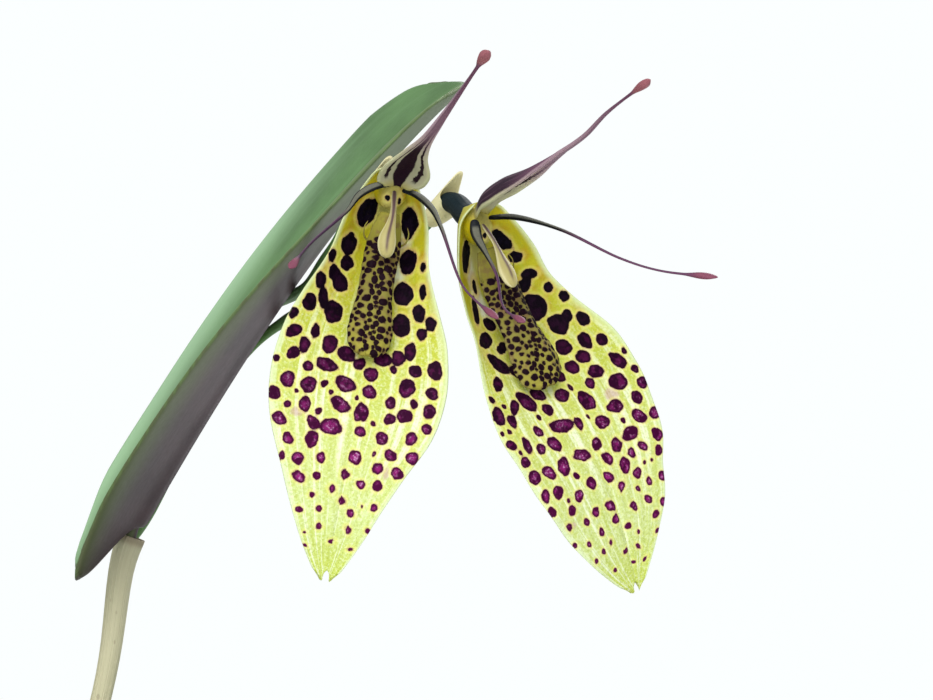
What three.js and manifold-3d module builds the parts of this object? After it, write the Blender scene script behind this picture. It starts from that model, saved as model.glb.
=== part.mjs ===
// A restrepia orchid in a plain clay pot: leafy stems on a creeping rhizome in bark, and two blooms.
// Millimetres, +Z up. The origin is the centre of the pot's flat base, and the blooms face -Y.
import * as THREE from "three";
import { mergeVertices } from "three/addons/utils/BufferGeometryUtils.js";
import Module from "manifold-3d";

const wasm = await Module();
wasm.setup();

// Clearance between two pieces that touch.
const GAP = 0.3;

// Pot.
const POT_HEIGHT = 68;
const POT_BASE_RADIUS = 25;
const POT_SHOULDER_RADIUS = 33;
const POT_RIM_RADIUS = 37.5;
const POT_RIM_HEIGHT = 16;
const POT_INSIDE_LOW = 21.9;
const POT_INSIDE_HIGH = 30.8;
const POT_FLOOR = 5;
const POT_ROUNDING = 1.2;
const POT_SIDES = 36;
const DRAIN_RADIUS = 3;
const DRAIN_CIRCLE = 13;
const DRAIN_COUNT = 4;

// Bark that fills the pot.
const BARK_TOP = 60;
const CHIP_COUNT = 46;
const CHIP_SIZE = [8.4, 5.2, 3];
const CHIP_SPREAD = 29.5;
const CHIP_TILT = 26;
const CHIP_LIFT = [0.6, 1.5];
const CHIP_TURN = 137.5;
const STEM_HOLE_RADIUS = 1.75;
const STEM_HOLE_RISE = 6;

// Rhizome and roots.
const RHIZOME_RADIUS = 1.3;
const KNUCKLE_RADIUS = 1.9;
const ROOT_RADIUS = 0.6;
const ROOT_COUNT = 6;
const ROOT_REACH = [7, 12];
const ROOT_RISE = [1.5, 2.5];
const ROOT_DIVE = 24;

// Stems in their papery sheaths.
const STEM_RADIUS = 0.85;
const SHEATH_LENGTH = 11.5;
const SHEATH_FLARE = 0.34;
const STEM_FOOT = BARK_TOP + KNUCKLE_RADIUS + GAP;

// Leaves.
const PETIOLE_LENGTH = 2.4;
const PETIOLE_RADIUS = 0.75;
const LEAF_THICK_MIDRIB = 1.15;
const LEAF_THICK_MARGIN = 0.7;
// Degrees that the halves rise from the midrib, and rise more at the lobes. Share of the roll at the base.
const LEAF_FOLD = 12;
const LOBE_FOLD = 8;
const LEAF_ROLL_START = 0.35;
// Share of the midrib that is nearly straight, and mm by which its tip is rounded.
const MIDRIB_STRAIGHT = 0.7;
const TIP_ROUNDING = 1.4;
// Length of petiole that is sunk in the blade.
const PETIOLE_RUN = 1.6;
// Share of the leaf's length, share of its greatest half width.
const LEAF_OUTLINE = [
  [0, 0.5],
  [0.1, 0.79],
  [0.26, 0.96],
  [0.42, 1],
  [0.62, 0.94],
  [0.8, 0.74],
  [0.93, 0.46],
  [1, 0.16],
];

// One row for each leafy stem: foot on the rhizome, direction in which it leans (turn), height to the leaf,
// lean there, leaf length, width, tilt at its base, added tilt at its tip (bend), roll at its tip and length
// of its lobes, in millimetres and degrees.
const STEMS = [
  {
    x: -3, y: 7, turn: 0, height: 66, lean: 12.1,
    leaf: 34.4, width: 20, tilt: 30, bend: 24, roll: 13, lobe: 5.2,
  },
  {
    x: -9, y: 3, turn: 148, height: 66, lean: 15,
    leaf: 40, width: 21, tilt: 22, bend: 20, roll: 3, lobe: 3.6,
  },
  {
    x: -14, y: -2, turn: 192, height: 55, lean: 15,
    leaf: 42, width: 22, tilt: 34, bend: 26, roll: -5, lobe: 3.8,
  },
  {
    x: -10, y: -9, turn: 236, height: 47, lean: 10,
    leaf: 39, width: 20, tilt: 28, bend: 22, roll: 4, lobe: 3.4,
  },
  {
    x: -3, y: -12, turn: 283, height: 27, lean: 9,
    leaf: 33, width: 18, tilt: 38, bend: 26, roll: -4, lobe: 3.2,
  },
  {
    x: 4, y: -9, turn: 320, height: 22, lean: 8,
    leaf: 33.4, width: 17.6, tilt: 36, bend: 25, roll: -4, lobe: 3.2,
  },
  {
    x: 9, y: -3, turn: 8, height: 23, lean: 7,
    leaf: 35, width: 19, tilt: 36, bend: 30, roll: -3, lobe: 3.4,
  },
  {
    x: 10, y: 5, turn: 52, height: 25, lean: 8,
    leaf: 33, width: 18, tilt: 33, bend: 24, roll: 4, lobe: 3.2,
  },
  {
    x: -8, y: 11, turn: 112, height: 43, lean: 13,
    leaf: 37, width: 20, tilt: 36, bend: 24, roll: -5, lobe: 3.4,
  },
];
const FLOWERING = 0;
// Order in which the rhizome creeps from foot to foot.
const CREEP = [2, 1, 0, 8];
const CREEP_BRANCH = [2, 3, 4, 5, 6, 7];

// Fused side sepals of a bloom: distance down the sheet against half width, set back and cupping.
const SYNSEPAL_LENGTH = 22.6;
const SYNSEPAL_THICK = 0.6;
const SYNSEPAL_HALF_WIDTH = [
  [0, 1.4],
  [2, 2.35],
  [4.5, 2.9],
  [7, 4],
  [9, 4.75],
  [11.5, 4.95],
  [14, 4.7],
  [17, 3.85],
  [20, 2.45],
  [22.6, 0.45],
];
const SYNSEPAL_SET_BACK = [
  [0, 1.0],
  [3, 1.8],
  [6, 1.2],
  [10, -0.5],
  [15, -1.7],
  [19, -1.5],
  [22.6, -0.6],
];
const SYNSEPAL_CUP = [
  [0, 1.2],
  [3, 1.7],
  [7, 1.2],
  [11, 0.6],
  [16, 0.3],
  [22.6, 0.25],
];
const SYNSEPAL_NOTCH = 0.7;
const SLIM_FROM = 14;

// Dorsal sepal: share of its length against half width and thickness.
const DORSAL_HALF_WIDTH = [
  [0, 0.35],
  [0.05, 0.75],
  [0.11, 1.25],
  [0.2, 0.95],
  [0.32, 0.4],
  [0.88, 0.3],
  [0.95, 0.42],
  [1, 0.22],
];
const DORSAL_THICK = 0.6;

// Petal: share of its length against radius.
const PETAL_RADIUS = [
  [0, 0.3],
  [0.12, 0.4],
  [0.3, 0.32],
  [0.86, 0.3],
  [0.94, 0.36],
  [1, 0.3],
];

// Lip: share of its length against half width; it lies in the cup of the fused sepals.
const LIP_START = 1.7;
const LIP_LENGTH = 7.9;
const LIP_THICK = 0.65;
const LIP_CLEAR = 1.15;
const LIP_HALF_WIDTH = [
  [0, 0.75],
  [0.2, 1.15],
  [0.4, 1.2],
  [0.58, 1.1],
  [0.8, 1.38],
  [0.94, 1.1],
  [1, 0.55],
];

// Column, ovary and bract.
const COLUMN_RADIUS = [
  [0, 0.3],
  [0.45, 0.32],
  [0.8, 0.52],
  [1, 0.28],
];
const OVARY_RADIUS = 0.56;
const BRACT_FOOT_RADIUS = 0.5;
const BRACT_MOUTH_RADIUS = 1.25;
const BRACT_WALL = 0.35;
const BRACT_POINT = 1.3;
const BRACT_FLOOR = 0.35;
const PEDUNCLE_RADIUS = 0.38;

// One row for each bloom: place of its centre, turn about the view (roll), nod (pitch) and turn to the right
// (yaw) in degrees, how much slimmer its lower third is, and the ways of its slender organs in its own frame,
// where +X is its right, -Y its front and +Z its top. The peduncle is in the part's frame.
const BLOOMS = [
  {
    name: "left",
    at: [25.45, -18, 146],
    roll: 9.7,
    pitch: -8,
    yaw: 5,
    slim: 0.3,
    dorsal: [
      [0, -0.1, 0.62],
      [0.1, -1.2, 1.1],
      [0.4, -3.2, 1.6],
      [0.8, -6.4, 2],
      [1.4, -10.6, 2.7],
      [1.8, -14.8, 3.4],
      [2.4, -19.2, 4.3],
    ],
    petals: {
      left: [
        [-1.15, -0.3, 0.55],
        [-1.7, -0.9, -0.5],
        [-2.5, -2, -1.9],
        [-3.4, -3.7, -3.8],
        [-4.3, -5.4, -5.4],
        [-5.2, -7.2, -6.9],
      ],
      right: [
        [1.15, -0.3, 0.45],
        [1.8, -1.4, -0.9],
        [2.7, -2.9, -2.8],
        [3.5, -4.2, -4.6],
        [4.5, -5.9, -6.4],
        [6.2, -8.5, -7.9],
      ],
    },
    ovary: [
      [0, 0.4, 0.62],
      [-0.1, 1.9, 0.6],
      [-0.3, 3.6, 0.1],
      [-0.5, 4.6, -0.3],
    ],
    bract: [
      [-1.6, 6.6, -1.6],
      [-0.5, 4, 0],
    ],
    peduncle: [
      [8.4, 8.6, 124.3],
      [9.1, 11.1, 126.8],
      [11.7, 12.3, 131.8],
      [14.9, 12.9, 137],
      [17.4, 11.2, 139.3],
      [19.7, 6, 140.5],
      [22.2, -3, 143.6],
    ],
  },
  {
    name: "right",
    at: [30.2, -16.5, 144],
    roll: -22,
    pitch: 1.5,
    yaw: 36,
    slim: 0,
    dorsal: [
      [0.1, -0.1, 0.62],
      [0.3, -1.6, 1],
      [0.2, -3.5, 1.2],
      [0, -5.9, 1.2],
      [-0.5, -8.7, 1.2],
      [-0.9, -12, 1.6],
      [-1.2, -17, 2.6],
      [-1, -21, 3.5],
    ],
    petals: {
      left: [
        [-1.15, -0.3, 0.55],
        [-1.3, -0.9, -0.4],
        [-1.9, -2.5, -2.1],
        [-2.9, -4.2, -3.6],
        [-3.9, -5.8, -5],
        [-4.7, -7.4, -6.2],
      ],
      right: [
        [1.15, -0.3, 0.45],
        [1.3, -1.6, -0.4],
        [1.7, -3.6, -1.7],
        [2.1, -5.7, -3.2],
        [2.8, -7.5, -4.9],
        [3.7, -9.3, -6.3],
        [5.4, -11.7, -7.8],
      ],
    },
    ovary: [
      [0, 0.4, 0.62],
      [0.6, 1.9, 1.1],
      [1.5, 3.5, 1.5],
      [2.1, 4.9, 1.4],
    ],
    bract: [
      [2.3, 7.6, 0.3],
      [2.1, 4.7, 1.7],
    ],
    peduncle: [
      [9.6, 8.1, 124.4],
      [10.3, 9.4, 127],
      [12.6, 10.3, 131.8],
      [15.5, 10.8, 136.2],
      [18.3, 8, 138.4],
      [22.6, -0.5, 140.2],
    ],
  },
];

const vec = (x, y, z) => new THREE.Vector3(x, y, z);
const rad = THREE.MathUtils.degToRad;
const clamp = THREE.MathUtils.clamp;

// Repeatable random numbers from 0 to 1.
function seeded(seed) {
  let state = seed;
  return () => {
    state = (state + 0x6d2b79f5) | 0;
    let t = Math.imul(state ^ (state >>> 15), 1 | state);
    t = (t + Math.imul(t ^ (t >>> 7), 61 | t)) ^ t;
    return ((t ^ (t >>> 14)) >>> 0) / 4294967296;
  };
}

const between = (random, low, high) => low + (high - low) * random();

// Value of a smooth line through [place, value] stops.
function along(stops, place) {
  const last = stops.length - 1;
  let i = 0;
  while (i < last - 1 && place > stops[i + 1][0]) i++;
  const slope = (k) => {
    const [before, after] = [stops[Math.max(k - 1, 0)], stops[Math.min(k + 1, last)]];
    return (after[1] - before[1]) / (after[0] - before[0]);
  };
  const [x0, y0] = stops[i];
  const [x1, y1] = stops[i + 1];
  const span = x1 - x0;
  const t = clamp((place - x0) / span, 0, 1);
  const rise = t * t * (3 - 2 * t);
  const lead = t * (1 - t) * (1 - t) * slope(i) * span;
  const trail = t * t * (t - 1) * slope(i + 1) * span;
  return y0 + (y1 - y0) * rise + lead + trail;
}

// Turns a closed geometry into a solid that can be cut and joined.
function solidOf(geometry) {
  const bare = geometry.clone();
  bare.deleteAttribute("normal");
  bare.deleteAttribute("uv");
  const merged = mergeVertices(bare, 1e-4);
  return new wasm.Manifold(
    new wasm.Mesh({
      numProp: 3,
      vertProperties: merged.attributes.position.array,
      triVerts: new Uint32Array(merged.index.array),
    }),
  );
}

// The largest body of a solid, as geometry. Loose scraps are dropped.
function geometryOf(solid) {
  const bodies = solid.decompose().sort((a, b) => b.volume() - a.volume());
  const mesh = bodies[0].getMesh();
  return new THREE.BufferGeometry()
    .setAttribute("position", new THREE.BufferAttribute(mesh.vertProperties, 3))
    .setIndex(new THREE.BufferAttribute(mesh.triVerts, 1));
}

function united(geometries) {
  return geometries.map(solidOf).reduce((a, b) => a.add(b));
}

// A closed solid from rings of points, all with the same count, joined ring to ring and capped.
function loft(rings) {
  const sides = rings[0].length;
  const points = rings.flat().flatMap((p) => [p.x, p.y, p.z]);
  const faces = [];
  for (let i = 0; i < rings.length - 1; i++)
    for (let k = 0; k < sides; k++) {
      const a = i * sides + k;
      const b = i * sides + ((k + 1) % sides);
      faces.push(a, b, b + sides, a, b + sides, a + sides);
    }
  const top = (rings.length - 1) * sides;
  for (let k = 1; k < sides - 1; k++) {
    faces.push(0, k + 1, k);
    faces.push(top, top + k, top + k + 1);
  }
  const geometry = new THREE.BufferGeometry();
  geometry.setAttribute("position", new THREE.Float32BufferAttribute(points, 3));
  geometry.setIndex(faces);
  return geometry;
}

// A round or flattened stalk along a curve. widthAt and depthAt give its two radii at a share of the length.
function stalk(curve, widthAt, depthAt, sides, steps) {
  const frames = curve.computeFrenetFrames(steps, false);
  const rings = [];
  for (let i = 0; i <= steps; i++) {
    const centre = curve.getPointAt(i / steps);
    const ring = [];
    for (let k = 0; k < sides; k++) {
      const angle = (2 * Math.PI * k) / sides;
      ring.push(
        centre
          .clone()
          .addScaledVector(frames.normals[i], Math.cos(angle) * widthAt(i / steps))
          .addScaledVector(frames.binormals[i], Math.sin(angle) * depthAt(i / steps)),
      );
    }
    rings.push(ring);
  }
  return loft(rings);
}

const curveThrough = (points) => new THREE.CatmullRomCurve3(points.map((p) => vec(...p)));

// A round stalk of one radius through points.
function tube(points, radius, sides, steps) {
  const section = new THREE.Shape();
  for (let k = 0; k < sides; k++) {
    const angle = (2 * Math.PI * k) / sides;
    const corner = [radius * Math.cos(angle), radius * Math.sin(angle)];
    if (k === 0) section.moveTo(...corner);
    else section.lineTo(...corner);
  }
  section.closePath();
  const extrudePath = curveThrough(points);
  return new THREE.ExtrudeGeometry(section, { steps, extrudePath, bevelEnabled: false });
}

// A thin curved sheet. surface(u, v) gives its middle, u from 0 to 1 along it and v from -1 to 1 across,
// and thickAt(u, v) its thickness. Both faces are split alike.
function sheet(surface, thickAt, across, lengthwise) {
  const columns = across + 1;
  const sideCount = columns * (lengthwise + 1);
  const faces = [];
  const upper = [];
  const lower = [];
  const small = 1e-3;
  for (let i = 0; i <= lengthwise; i++)
    for (let k = 0; k <= across; k++) {
      const u = i / lengthwise;
      const v = (2 * k) / across - 1;
      const [u0, u1] = [Math.max(u - small, 0), Math.min(u + small, 1)];
      const [v0, v1] = [Math.max(v - small, -1), Math.min(v + small, 1)];
      const downSheet = surface(u1, v).sub(surface(u0, v));
      const acrossSheet = surface(u, v1).sub(surface(u, v0));
      const normal = acrossSheet.cross(downSheet).normalize();
      const middle = surface(u, v);
      const half = thickAt(u, v) / 2;
      upper.push(middle.clone().addScaledVector(normal, half));
      lower.push(middle.clone().addScaledVector(normal, -half));
    }
  const at = (i, k) => i * columns + k;
  for (let i = 0; i < lengthwise; i++)
    for (let k = 0; k < across; k++) {
      const [a, b, c, d] = [at(i, k), at(i, k + 1), at(i + 1, k + 1), at(i + 1, k)];
      faces.push(a, b, c, a, c, d);
      faces.push(a + sideCount, c + sideCount, b + sideCount);
      faces.push(a + sideCount, d + sideCount, c + sideCount);
    }
  const wall = (a, b) => faces.push(a, a + sideCount, b + sideCount, a, b + sideCount, b);
  for (let k = 0; k < across; k++) {
    wall(at(0, k), at(0, k + 1));
    wall(at(lengthwise, k + 1), at(lengthwise, k));
  }
  for (let i = 0; i < lengthwise; i++) {
    wall(at(i + 1, 0), at(i, 0));
    wall(at(i, across), at(i + 1, across));
  }
  const geometry = new THREE.BufferGeometry();
  const points = [...upper, ...lower].flatMap((p) => [p.x, p.y, p.z]);
  geometry.setAttribute("position", new THREE.Float32BufferAttribute(points, 3));
  geometry.setIndex(faces);
  return geometry;
}

// Materials.
const finish = (color, roughness) => new THREE.MeshStandardMaterial({ color, roughness, metalness: 0 });
const clay = finish(0xb5653f, 0.85);
const bark = finish(0x5b4030, 0.9);
const rootSkin = finish(0x9b8a62, 0.8);
const paperySheath = finish(0xb9ab86, 0.75);
const leafSkin = finish(0x4f7f45, 0.4);
const stalkSkin = finish(0x5c8a4a, 0.5);
const spottedYellow = finish(0xc9d04e, 0.45);
const stripedCream = finish(0x7a4a58, 0.45);
const petalSkin = finish(0x5a3c4c, 0.45);
const lipSkin = finish(0x6b5a2c, 0.5);
const columnSkin = finish(0xd8cf8e, 0.4);
const ovarySkin = finish(0x3a4a50, 0.5);
const bractPaper = finish(0xcdbf8f, 0.75);

const plant = new THREE.Group();

function place(name, geometry, material, parent = plant) {
  const mesh = new THREE.Mesh(geometry, material);
  mesh.name = name;
  parent.add(mesh);
  return mesh;
}

// Inner wall of the pot: radius at a height.
const potInside = (z) => THREE.MathUtils.mapLinear(z, POT_FLOOR, POT_HEIGHT, POT_INSIDE_LOW, POT_INSIDE_HIGH);

// A LatheGeometry on Z, from a profile of [radius, height] points.
function turned(profile, sides) {
  const points = profile.map(([r, z]) => new THREE.Vector2(r, z));
  return new THREE.LatheGeometry(points, sides).rotateX(Math.PI / 2);
}

// A CylinderGeometry that stands on Z, centred on the origin.
const upright = (radius, height, sides) =>
  new THREE.CylinderGeometry(radius, radius, height, sides).rotateX(Math.PI / 2);

// Tapered pot with a band at its rim and a ring of drain holes round a solid centre.
function pot() {
  const rimFoot = POT_HEIGHT - POT_RIM_HEIGHT;
  const body = turned(
    [
      [0, 0],
      [POT_BASE_RADIUS - 1, 0],
      [POT_BASE_RADIUS, 1],
      [POT_SHOULDER_RADIUS, rimFoot],
      [POT_RIM_RADIUS - POT_ROUNDING, rimFoot],
      [POT_RIM_RADIUS, rimFoot + POT_ROUNDING],
      [POT_RIM_RADIUS, POT_HEIGHT - POT_ROUNDING],
      [POT_RIM_RADIUS - POT_ROUNDING, POT_HEIGHT],
      [potInside(POT_HEIGHT) + POT_ROUNDING, POT_HEIGHT],
      [potInside(POT_HEIGHT), POT_HEIGHT - POT_ROUNDING],
      [potInside(POT_FLOOR + POT_ROUNDING), POT_FLOOR + POT_ROUNDING],
      [potInside(POT_FLOOR) - POT_ROUNDING, POT_FLOOR],
      [0, POT_FLOOR],
    ],
    POT_SIDES,
  );
  let solid = solidOf(body);
  for (let i = 0; i < DRAIN_COUNT; i++) {
    const angle = ((i + 0.5) * 2 * Math.PI) / DRAIN_COUNT;
    const drill = upright(DRAIN_RADIUS, 3 * POT_FLOOR, 12);
    drill.translate(DRAIN_CIRCLE * Math.cos(angle), DRAIN_CIRCLE * Math.sin(angle), POT_FLOOR / 2);
    solid = solid.subtract(solidOf(drill));
  }
  return geometryOf(solid);
}

// Where the stems stand on the rhizome.
const footOf = (stem) => vec(stem.x, stem.y, BARK_TOP);

// Ways of the roots: out over the bark from a foot, then down into it.
function rootWays() {
  const random = seeded(11);
  const ways = [];
  for (let i = 0; i < ROOT_COUNT; i++) {
    const foot = footOf(STEMS[(i * 2 + 1) % STEMS.length]);
    const angle = Math.atan2(foot.y, foot.x) + between(random, -0.8, 0.8);
    const out = vec(Math.cos(angle), Math.sin(angle), 0);
    const reach = between(random, ...ROOT_REACH);
    const rise = between(random, ...ROOT_RISE);
    const at = (share, height) => foot.clone().addScaledVector(out, reach * share).setZ(BARK_TOP + height);
    const way = [at(0, 0), at(0.35, rise), at(0.8, rise / 2), at(1.05, -ROOT_DIVE / 3), at(0.9, -ROOT_DIVE)];
    ways.push(way.map((point) => point.toArray()));
  }
  return ways;
}

// Creeping rhizome with a knuckle under each stem, and its roots. grow widens all of it, to cut its bed.
function rhizome(grow) {
  const parts = [CREEP, CREEP_BRANCH].map((chain) => {
    const feet = chain.map((i) => footOf(STEMS[i]).toArray());
    return tube(feet, RHIZOME_RADIUS + grow, 7, 3 * (chain.length - 1));
  });
  for (const stem of STEMS) {
    const knuckle = new THREE.SphereGeometry(KNUCKLE_RADIUS + grow, 8, 5).rotateX(Math.PI / 2);
    knuckle.translate(stem.x, stem.y, BARK_TOP);
    parts.push(knuckle);
  }
  for (const way of rootWays()) parts.push(tube(way, ROOT_RADIUS + grow, 5, 8));
  return united(parts);
}

// Bark chips on a bed that fills the pot, with the rhizome's bed and a plain hole for each stem.
function barkFill() {
  const random = seeded(5);
  const bedTop = BARK_TOP - 1;
  const bed = turned(
    [
      [0, POT_FLOOR + GAP],
      [potInside(POT_FLOOR) - 2, POT_FLOOR + GAP],
      [potInside(bedTop) - GAP, bedTop],
      [0, bedTop + 0.6],
    ],
    24,
  );
  const parts = [bed];
  for (let i = 0; i < CHIP_COUNT; i++) {
    const radius = CHIP_SPREAD * Math.sqrt((i + 0.4) / CHIP_COUNT);
    const angle = rad(i * CHIP_TURN + between(random, 0, 30));
    const size = CHIP_SIZE.map((s) => s * between(random, 0.75, 1.25));
    const chip = new THREE.BoxGeometry(...size);
    chip.rotateX(rad(between(random, -CHIP_TILT, CHIP_TILT)));
    chip.rotateY(rad(between(random, -CHIP_TILT, CHIP_TILT)));
    chip.rotateZ(between(random, 0, Math.PI));
    const height = bedTop + between(random, ...CHIP_LIFT);
    chip.translate(radius * Math.cos(angle), radius * Math.sin(angle), height);
    parts.push(chip);
  }
  const room = turned(
    [
      [0, POT_FLOOR],
      [potInside(POT_FLOOR) - 1, POT_FLOOR],
      [potInside(POT_HEIGHT) - GAP - 0.3, POT_HEIGHT],
      [0, POT_HEIGHT],
    ],
    24,
  );
  let fill = united(parts).intersect(solidOf(room)).subtract(rhizome(GAP));
  for (const stem of STEMS) {
    const hole = upright(STEM_HOLE_RADIUS, 2 * STEM_HOLE_RISE, 10);
    hole.translate(stem.x, stem.y, BARK_TOP + STEM_HOLE_RISE);
    fill = fill.subtract(solidOf(hole));
  }
  return geometryOf(fill);
}

// Curve of a stem from its foot to the leaf, leaning towards its own +X.
function stemCurve(stem) {
  const top = stem.height - PETIOLE_LENGTH;
  return curveThrough([
    [0, 0, STEM_FOOT - BARK_TOP],
    [stem.lean * 0.22, 0, top * 0.35],
    [stem.lean * 0.58, 0, top * 0.7],
    [stem.lean * 0.94, 0, top],
  ]);
}

// Stem in overlapping sheaths: each widens to its mouth, and the next starts narrow inside it.
function sheathedStem(stem) {
  const curve = stemCurve(stem);
  const count = Math.max(2, Math.round(stem.height / SHEATH_LENGTH));
  const shares = [];
  for (let i = 0; i < count; i++)
    for (const [share, flare] of [
      [0.02, 0],
      [0.55, 0.45],
      [0.96, 1],
    ])
      shares.push([(i + share) / count, STEM_RADIUS + SHEATH_FLARE * flare]);
  shares.push([1, STEM_RADIUS - 0.05]);
  const rings = shares.map(([share, radius]) => {
    const centre = curve.getPointAt(share);
    const tangent = curve.getTangentAt(share);
    const side = vec(0, 1, 0);
    const front = side.clone().cross(tangent).normalize();
    const ring = [];
    for (let k = 0; k < 8; k++) {
      const angle = (2 * Math.PI * k) / 8;
      ring.push(
        centre
          .clone()
          .addScaledVector(front, Math.cos(angle) * radius)
          .addScaledVector(side, Math.sin(angle) * radius * 0.85),
      );
    }
    return ring;
  });
  return loft(rings);
}

// Midrib of a leaf: straight at first, then leaning over towards its tip.
function midribOf(stem) {
  const heading = (degrees) => vec(Math.sin(rad(degrees)), 0, Math.cos(rad(degrees)));
  const bendAt = heading(stem.tilt).multiplyScalar(stem.leaf * MIDRIB_STRAIGHT);
  const rest = heading(stem.tilt + stem.bend).multiplyScalar(stem.leaf * (1 - MIDRIB_STRAIGHT));
  const tip = bendAt.clone().add(rest);
  return new THREE.QuadraticBezierCurve3(vec(0, 0, 0), bendAt, tip);
}

// Leaf blade. Its halves fold up from the midrib, and its base is heart shaped, with a lobe on each side of
// the petiole, which reach back past the midrib's start.
function leafBlade(stem) {
  const midrib = midribOf(stem);
  const length = midrib.getLength();
  const surface = (u, v) => {
    const lobe = stem.lobe * (1 - u) ** 3 * Math.sin(0.75 * Math.PI * Math.abs(v)) ** 2;
    const s = u * length - lobe - TIP_ROUNDING * u ** 10 * v * v;
    const heading = midrib.getTangentAt(clamp(s / length, 0, 1));
    const middle = midrib.getPointAt(clamp(s / length, 0, 1)).addScaledVector(heading, Math.min(s, 0));
    const upward = vec(-heading.z, 0, heading.x);
    const reach = (stem.width / 2) * along(LEAF_OUTLINE, u) * v;
    const roll = stem.roll * (LEAF_ROLL_START + (1 - LEAF_ROLL_START) * u);
    const lift = rad(LEAF_FOLD + LOBE_FOLD * (1 - u) ** 3 + roll * Math.sign(v));
    return middle
      .addScaledVector(vec(0, 1, 0), reach * Math.cos(lift))
      .addScaledVector(upward, Math.abs(reach) * Math.sin(lift));
  };
  const thick = (u, v) => LEAF_THICK_MIDRIB + (LEAF_THICK_MARGIN - LEAF_THICK_MIDRIB) * Math.abs(v);
  return sheet(surface, thick, 6, 10);
}

function leaf(stem) {
  const top = stemCurve(stem).getPointAt(1);
  const lean = stemCurve(stem).getTangentAt(1);
  const base = vec(stem.lean, 0, stem.height);
  const blade = leafBlade(stem).translate(...base.toArray());
  const foot = top.clone().addScaledVector(lean, GAP);
  const head = base.clone().addScaledVector(midribOf(stem).getTangentAt(0), PETIOLE_RUN);
  const way = [foot, base, head].map((p) => p.toArray());
  return geometryOf(united([blade, tube(way, PETIOLE_RADIUS, 7, 3)]));
}

STEMS.forEach((stem, i) => {
  const group = new THREE.Group();
  group.position.set(stem.x, stem.y, BARK_TOP);
  group.rotation.z = rad(stem.turn);
  const name = i === FLOWERING ? "flowering" : String(i);
  place(`stem_${name}`, sheathedStem(stem), paperySheath, group);
  place(`leaf_${name}`, leaf(stem), leafSkin, group);
  plant.add(group);
});

// Fused side sepals: a spoon-shaped sheet, cupped at its neck, with a cleft tip.
function synsepal(slim) {
  const surface = (u, v) => {
    const notch = SYNSEPAL_NOTCH * u ** 12 * Math.abs(1 - Math.abs(v) / 0.55);
    const s = u * SYNSEPAL_LENGTH - notch;
    const narrowing = 1 - slim * clamp((s - SLIM_FROM) / (SYNSEPAL_LENGTH - SLIM_FROM), 0, 1);
    const reach = along(SYNSEPAL_HALF_WIDTH, s) * narrowing * v;
    return vec(reach, along(SYNSEPAL_SET_BACK, s) - along(SYNSEPAL_CUP, s) * v * v, -s);
  };
  return sheet(surface, () => SYNSEPAL_THICK, 8, 16);
}

// Dorsal sepal: a cupped blade that draws out into a long tail with a club at its end.
function dorsalSepal(path) {
  const curve = curveThrough(path);
  const surface = (u, v) => {
    const tangent = curve.getTangentAt(u);
    const side = vec(1, 0, 0);
    const inward = side.clone().cross(tangent).negate().normalize();
    const reach = along(DORSAL_HALF_WIDTH, u) * v;
    const hood = 0.55 * Math.max(0, 1 - u / 0.34) * v * v;
    return curve.getPointAt(u).addScaledVector(side, reach).addScaledVector(inward, -hood);
  };
  return sheet(surface, () => DORSAL_THICK, 4, 20);
}

function petal(path) {
  const radius = (u) => along(PETAL_RADIUS, u);
  return stalk(curveThrough(path), radius, radius, 6, 12);
}

// Lip: a waisted tongue in the cup of the fused sepals.
function lip() {
  const surface = (u, v) => {
    const s = LIP_START + u * LIP_LENGTH;
    const reach = along(LIP_HALF_WIDTH, u) * v;
    const back = along(SYNSEPAL_SET_BACK, s) - LIP_CLEAR;
    return vec(reach, back, -s);
  };
  return sheet(surface, () => LIP_THICK, 4, 10);
}

function column() {
  const curve = curveThrough([
    [0, -0.4, -0.25],
    [0, -0.9, -1.3],
    [0, -1.3, -2.7],
    [0, -1.5, -3.9],
  ]);
  const radius = (u) => along(COLUMN_RADIUS, u);
  return stalk(curve, (u) => radius(u) * 0.85, radius, 8, 8);
}

function ovary(path) {
  const radius = (u) => OVARY_RADIUS * (0.8 + 0.6 * u - 0.8 * u * u);
  return stalk(curveThrough(path), radius, radius, 8, 6);
}

// Bract: a papery cone round the ovary's foot, drawn up into a point on its upper side. ends are the places
// of its foot and of its mouth.
function bract(ends) {
  const [foot, mouth] = ends.map((p) => vec(...p));
  const long = foot.distanceTo(mouth);
  const floor = long * BRACT_FLOOR;
  const cone = turned(
    [
      [0, 0],
      [BRACT_FOOT_RADIUS, 0],
      [BRACT_FOOT_RADIUS * 1.5, floor],
      [BRACT_MOUTH_RADIUS, long],
      [BRACT_MOUTH_RADIUS - BRACT_WALL, long - 0.1],
      [BRACT_FOOT_RADIUS * 1.1, floor + 0.4],
      [0, floor + 0.4],
    ],
    12,
  );
  const position = cone.getAttribute("position");
  for (let i = 0; i < position.count; i++) {
    const share = Math.max(0, position.getZ(i) / long - 0.5) * 2;
    const side = clamp(position.getX(i) / BRACT_MOUTH_RADIUS, -1, 1);
    position.setZ(i, position.getZ(i) + share * BRACT_POINT * side * Math.abs(side));
  }
  const ahead = mouth.sub(foot).normalize();
  const upSide = vec(0, 0, 1).addScaledVector(ahead, -ahead.z).normalize();
  const across = ahead.clone().cross(upSide);
  return cone.applyMatrix4(new THREE.Matrix4().makeBasis(upSide, across, ahead).setPosition(foot));
}

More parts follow.
